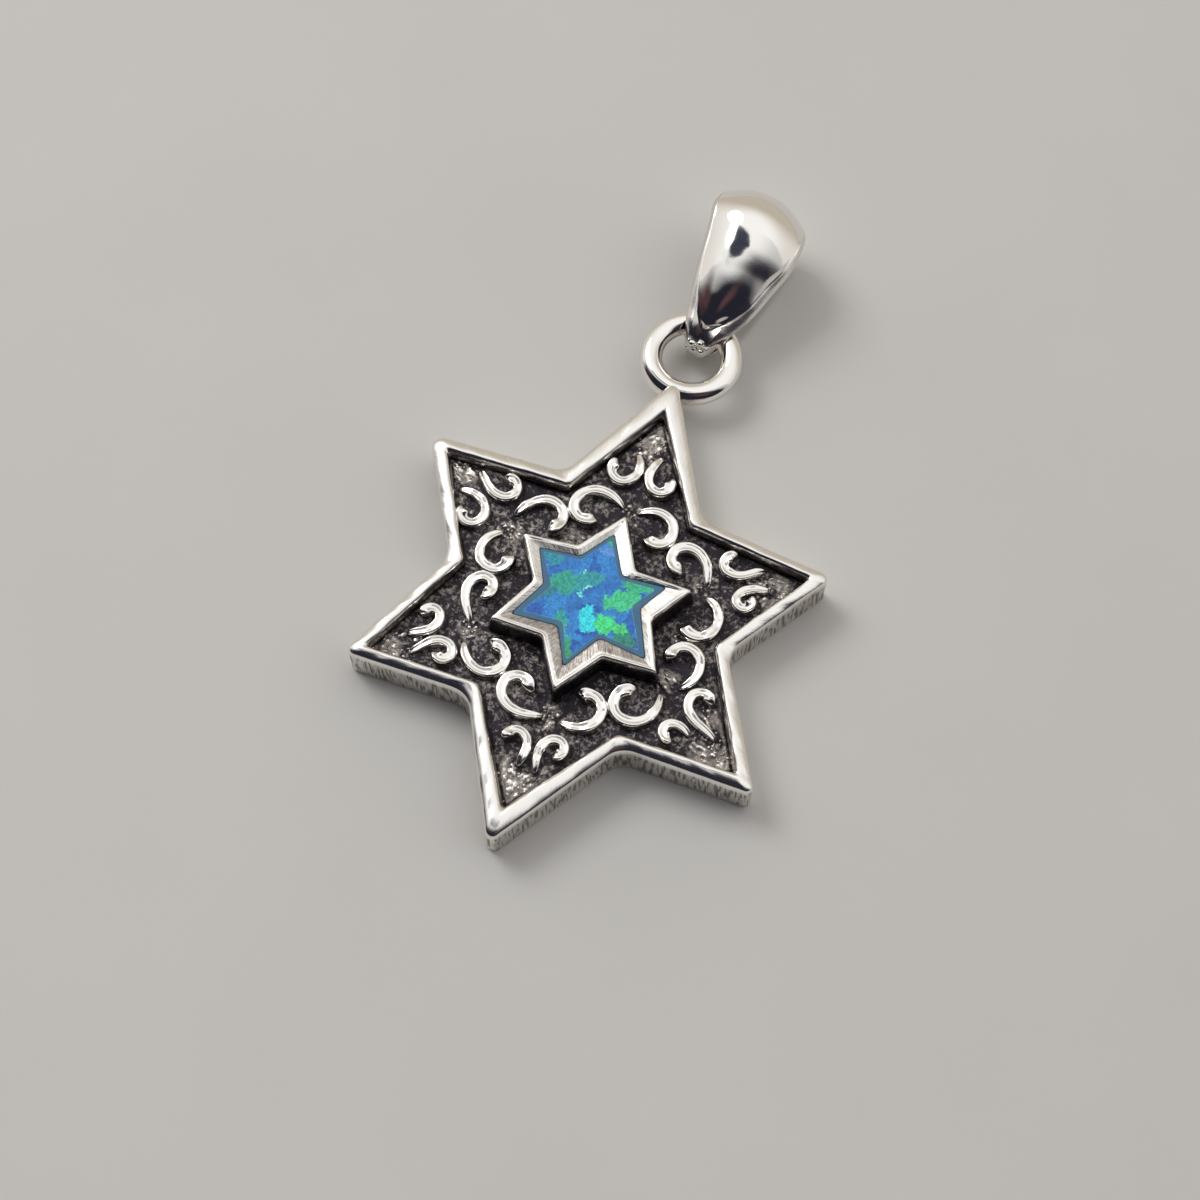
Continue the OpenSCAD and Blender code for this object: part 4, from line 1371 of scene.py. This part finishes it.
class PENDANT_OT_strew_grain(bpy.types.Operator):
    """Strew the bright granules of the casting in the points and between the scrolls"""

    bl_idname = "pendant.strew_grain"
    bl_label = "Strew grain"

    def execute(self, context):
        finish = context.scene.pendant_finish
        size = measured(context.scene)
        floor_z = size.star_t - size.field_d
        metal = silver_material("Polished cast grain", finish, GRAIN_POLISH, floor_z - GRAIN_SINK)
        ways = [2 * pi * i / PATCH_SIDES for i in range(PATCH_SIDES)]
        shapes, thickness = [], []
        for x, y, reach, share in GRAIN_PATCHES:
            rings = [
                [Vector((x + r * cos(a), y + r * sin(a), floor_z)) for a in ways]
                for r in (reach, reach * 0.5)
            ]
            shapes.append(skin(rings, cap_last=True))
            thickness += [GRAIN_THIN * share] * PATCH_SIDES + [share] * (PATCH_SIDES + 1)
        values = {"thickness": thickness}
        mesh = new_mesh("cast_grain", *join_shapes(shapes), size, values)
        source = new_piece("cast_grain", mesh)
        inputs = {"Density": GRAIN_DENSITY, "Radius": size.grain_r * MM, "Seed": GRAIN_SEED}
        modify(source, strewn_tree(), inputs | {"Material": metal})
        finish_piece(baked("cast_grain", source), "star")
        return {"FINISHED"}


class PENDANT_OT_solder_ring(bpy.types.Operator):
    """Bend the ring of round wire and solder it to the star's top point"""

    bl_idname = "pendant.solder_ring"
    bl_label = "Solder ring"

    def execute(self, context):
        finish = context.scene.pendant_finish
        size = measured(context.scene)
        bail = bail_shape(size)
        metal = silver_material("Polished sterling silver wire", finish, WIRE_POLISH)
        reach = bail.ring_r + size.ring_wire / 2 - size.solder_r
        radii = (size.solder_r, size.solder_r, size.solder_r * SOLDER_FLAT)
        shapes = [
            ball(bail.ring_centre + reach * Vector((x, -cos(SOLDER_TURN), 0)), radii)
            for x in (-sin(SOLDER_TURN), sin(SOLDER_TURN))
        ]
        x, y, z = FILLET_PLACE
        low = bail.ring_centre + Vector((x, y - reach, z))
        shapes.append(ball(low, FILLET_RADII, FILLET_TURN))
        mesh = new_mesh("soldered_ring", *join_shapes(shapes), size)
        source = new_piece("soldered_ring", mesh, metal)
        inputs = {
            "Ring radius": bail.ring_r * MM,
            "Wire radius": size.ring_wire / 2 * MM,
            "Centre": (bail.ring_centre - size.middle) * MM,
            "Material": metal,
        }
        modify(source, wire_tree(), inputs)
        melted = source.modifiers.new("Melted", "REMESH")
        melted.mode = "VOXEL"
        melted.voxel_size = SOLDER_MELT * MM
        evened = source.modifiers.new("Evened", "SMOOTH")
        evened.factor = 0.5
        evened.iterations = 8
        ring = baked("soldered_ring", source)
        ring.data.materials.clear()
        ring.data.materials.append(metal)
        finish_piece(ring, "star")
        return {"FINISHED"}


class PENDANT_OT_set_opal(bpy.types.Operator):
    """Set the opal in its bezel, bevelled round a flat top"""

    bl_idname = "pendant.set_opal"
    bl_label = "Set opal"

    def execute(self, context):
        size = measured(context.scene)
        star = star_shape(size, CORNER_STEPS, OPAL_EDGE_STEPS)
        edge, top = star.opal_edge, star.opal_top
        rings, border = [], []

        def ring(points, z, clear):
            rings.append([Vector((*p, z)) for p in points])
            border.extend([clear] * len(edge))

        ring(edge, star.seat_z + size.setting_gap, 1)
        ring(edge, star.opal_edge_z - 0.1, 1)
        for share in shares(OPAL_BEVEL_STEPS):
            rise = size.opal_bevel * sin(pi / 2 * share)
            bevel = [a.lerp(b, share) for a, b in zip(edge, top)]
            ring(bevel, star.opal_edge_z + rise, 1 - eased(share, 0.75, 0.95))
        flat_z = star.opal_edge_z + size.opal_bevel
        for shrink in OPAL_FLAT_ROWS:
            flat = [(p.x * shrink, p.y * shrink) for p in top]
            ring(flat, flat_z - OPAL_DIP * (1 - shrink), 0.0)
        points, faces = skin(rings, cap_first=True, cap_last=True)
        mesh = new_mesh("opal_inlay", points, faces, size, {"border": border + [1.0, 0.0]})
        stone = opal_material(context.scene.pendant_finish, size.middle)
        finish_piece(new_piece("opal_inlay", mesh, stone), "opal")
        return {"FINISHED"}


class PENDANT_OT_hang_bail(bpy.types.Operator):
    """Hang the domed bail on the ring"""

    bl_idname = "pendant.hang_bail"
    bl_label = "Hang bail"

    def execute(self, context):
        finish = context.scene.pendant_finish
        metal = silver_material("Polished sterling silver sheet", finish, SHEET_POLISH)
        piece = new_piece("bail_loop", bail_mesh(measured(context.scene)), metal)
        finish_piece(piece, "bail")
        return {"FINISHED"}


class PENDANT_OT_drop_beads(bpy.types.Operator):
    """Drop the solder beads where the bail is closed"""

    bl_idname = "pendant.drop_beads"
    bl_label = "Drop solder beads"

    def execute(self, context):
        size = measured(context.scene)
        bail = bail_shape(size)
        reach = bail.end_r - BEAD_SINK
        points = []
        for place, turn, _ in BAIL_BEADS:
            y, z = reach * cos(radians(turn)), reach * sin(radians(turn))
            points.append(hung((size.bail_wall * place, y, z), bail, size))
        mesh = new_mesh("solder_beads", points, [], size, {"share": [b[2] for b in BAIL_BEADS]})
        source = new_piece("solder_beads", mesh)
        metal = silver_material("Silver solder", context.scene.pendant_finish, SOLDER_POLISH)
        modify(source, bead_tree(), {"Radius": size.bead_r * MM, "Material": metal})
        finish_piece(baked("solder_beads", source), "bail")
        return {"FINISHED"}


def turned_to(direction, turn):
    """The rotation that looks along a direction, its width turned by an angle from X."""
    ahead = Vector(direction).normalized()
    up = ahead.cross(Vector((cos(turn), sin(turn), 0))).normalized()
    return Matrix((up.cross(ahead), up, ahead)).transposed().to_euler()


def light_room(world):
    """Light the world as a white room, with what shows in the polish as soft-edged areas."""
    world.use_nodes = True
    tree = world.node_tree
    tree.nodes.clear()
    way = add(tree, "ShaderNodeTexCoord").outputs["Generated"]
    way = add(tree, "ShaderNodeVectorMath", [way], operation="NORMALIZE")
    light = WHITE
    for direction, reach, turn, soft, tint, strength in ROOM:
        local = add(
            tree,
            "ShaderNodeMapping",
            {
                "Vector": way,
                "Rotation": turned_to(direction, radians(turn)),
                "Scale": (sin(radians(reach[0])), sin(radians(reach[1])), 1),
            },
            vector_type="TEXTURE",
        )
        flat = add(tree, "ShaderNodeVectorMath", [local, (1, 1, 0)], operation="MULTIPLY")
        away = add(tree, "ShaderNodeVectorMath", [flat], operation="LENGTH").outputs["Value"]
        ahead = add(tree, "ShaderNodeSeparateXYZ", [local]).outputs["Z"]
        ahead = add(tree, "ShaderNodeMath", [ahead, 0.0], operation="GREATER_THAN")
        inside = add(
            tree,
            "ShaderNodeMapRange",
            [away, 1 + soft, 1 - soft],
            interpolation_type="SMOOTHSTEP",
        )
        inside = add(tree, "ShaderNodeMath", [inside, ahead], operation="MULTIPLY")
        shade = [value * strength for value in linear(tint)[:3]] + [1]
        sockets = {0: inside, 6: light, 7: shade}
        light = add(tree, "ShaderNodeMix", sockets, data_type="RGBA").outputs[2]
    shine = add(tree, "ShaderNodeBackground", {"Color": light, "Strength": 1.0})
    add(tree, "ShaderNodeOutputWorld", {"Surface": shine})


def aimed(name, data, way, distance, place):
    """A new lamp or camera, this far along a way from a place, that looks back at it."""
    item = linked(name, data)
    item.location = place + way * distance
    item.rotation_euler = way.to_track_quat("Z", "Y").to_euler()
    return item


class PENDANT_OT_set_stage(bpy.types.Operator):
    """Lay the pale floor, light the room and place the camera"""

    bl_idname = "pendant.set_stage"
    bl_label = "Set stage"

    def execute(self, context):
        scene = context.scene
        stage = scene.pendant_stage
        corners = [
            Vector((x, y, 0)) * FLOOR_HALF * MM for x, y in ((-1, -1), (1, -1), (1, 1), (-1, 1))
        ]
        mesh = bpy.data.meshes.new("floor")
        mesh.from_pydata(corners, [], [(0, 1, 2, 3)])
        mesh.materials.append(floor_material(scene.pendant_finish))
        floor = linked("floor", mesh)
        scene.world = bpy.data.worlds.new("Room")
        light_room(scene.world)
        lamp_data = bpy.data.lights.new("soft_lamp", "AREA")
        lamp_data.shape = "DISK"
        lamp_data.size = stage.lamp_size
        lamp_data.energy = stage.lamp_radiance * pi * pi * (stage.lamp_size / 2) ** 2
        towards = Vector(LAMP_TOWARDS).normalized()
        aimed("soft_lamp", lamp_data, towards, stage.lamp_distance, Vector())
        camera_data = bpy.data.cameras.new("camera")
        camera_data.lens = stage.lens
        camera_data.sensor_width = SENSOR_W
        camera_data.clip_start = MM
        camera_data.clip_end = CAMERA_REACH
        out, turn = cos(stage.elevation), stage.azimuth
        back = Vector((sin(turn) * out, -cos(turn) * out, sin(stage.elevation)))
        aim = Vector((stage.aim_x, stage.aim_y, 0)) - measured(scene).middle
        scene.camera = aimed("camera", camera_data, back, stage.distance, aim * MM)
        scene.view_settings.view_transform = "Standard"
        scene.view_settings.look = "None"
        return {"FINISHED"}


OPERATORS = (
    PENDANT_OT_cast_star,
    PENDANT_OT_raise_scrolls,
    PENDANT_OT_strew_grain,
    PENDANT_OT_solder_ring,
    PENDANT_OT_set_opal,
    PENDANT_OT_hang_bail,
    PENDANT_OT_drop_beads,
    PENDANT_OT_set_stage,
)

GROUPS = {
    "pendant_star": StarSizes,
    "pendant_bail": BailSizes,
    "pendant_finish": PendantFinish,
    "pendant_stage": PendantStage,
}


class PENDANT_PT_sidebar(bpy.types.Panel):
    """The pendant's operators and sizes in the 3D view's sidebar"""

    bl_idname = "PENDANT_PT_sidebar"
    bl_label = "Star pendant"
    bl_space_type = "VIEW_3D"
    bl_region_type = "UI"
    bl_category = "Pendant"

    def draw(self, context):
        for operator in OPERATORS:
            self.layout.operator(operator.bl_idname)
        for name in GROUPS:
            group = getattr(context.scene, name)
            box = self.layout.box()
            for key in own_properties(group):
                box.prop(group, key)


def register():
    """Register the property groups, the operators and the panel."""
    for key, group in GROUPS.items():
        bpy.utils.register_class(group)
        setattr(bpy.types.Scene, key, bpy.props.PointerProperty(type=group))
    for item in (*OPERATORS, PENDANT_PT_sidebar):
        bpy.utils.register_class(item)


def unregister():
    """Take away all that register added."""
    for item in (PENDANT_PT_sidebar, *reversed(OPERATORS)):
        bpy.utils.unregister_class(item)
    for key, group in GROUPS.items():
        delattr(bpy.types.Scene, key)
        bpy.utils.unregister_class(group)


def main():
    register()
    for operator in OPERATORS:
        group, name = operator.bl_idname.split(".")
        getattr(getattr(bpy.ops, group), name)()


if __name__ == "__main__":
    main()
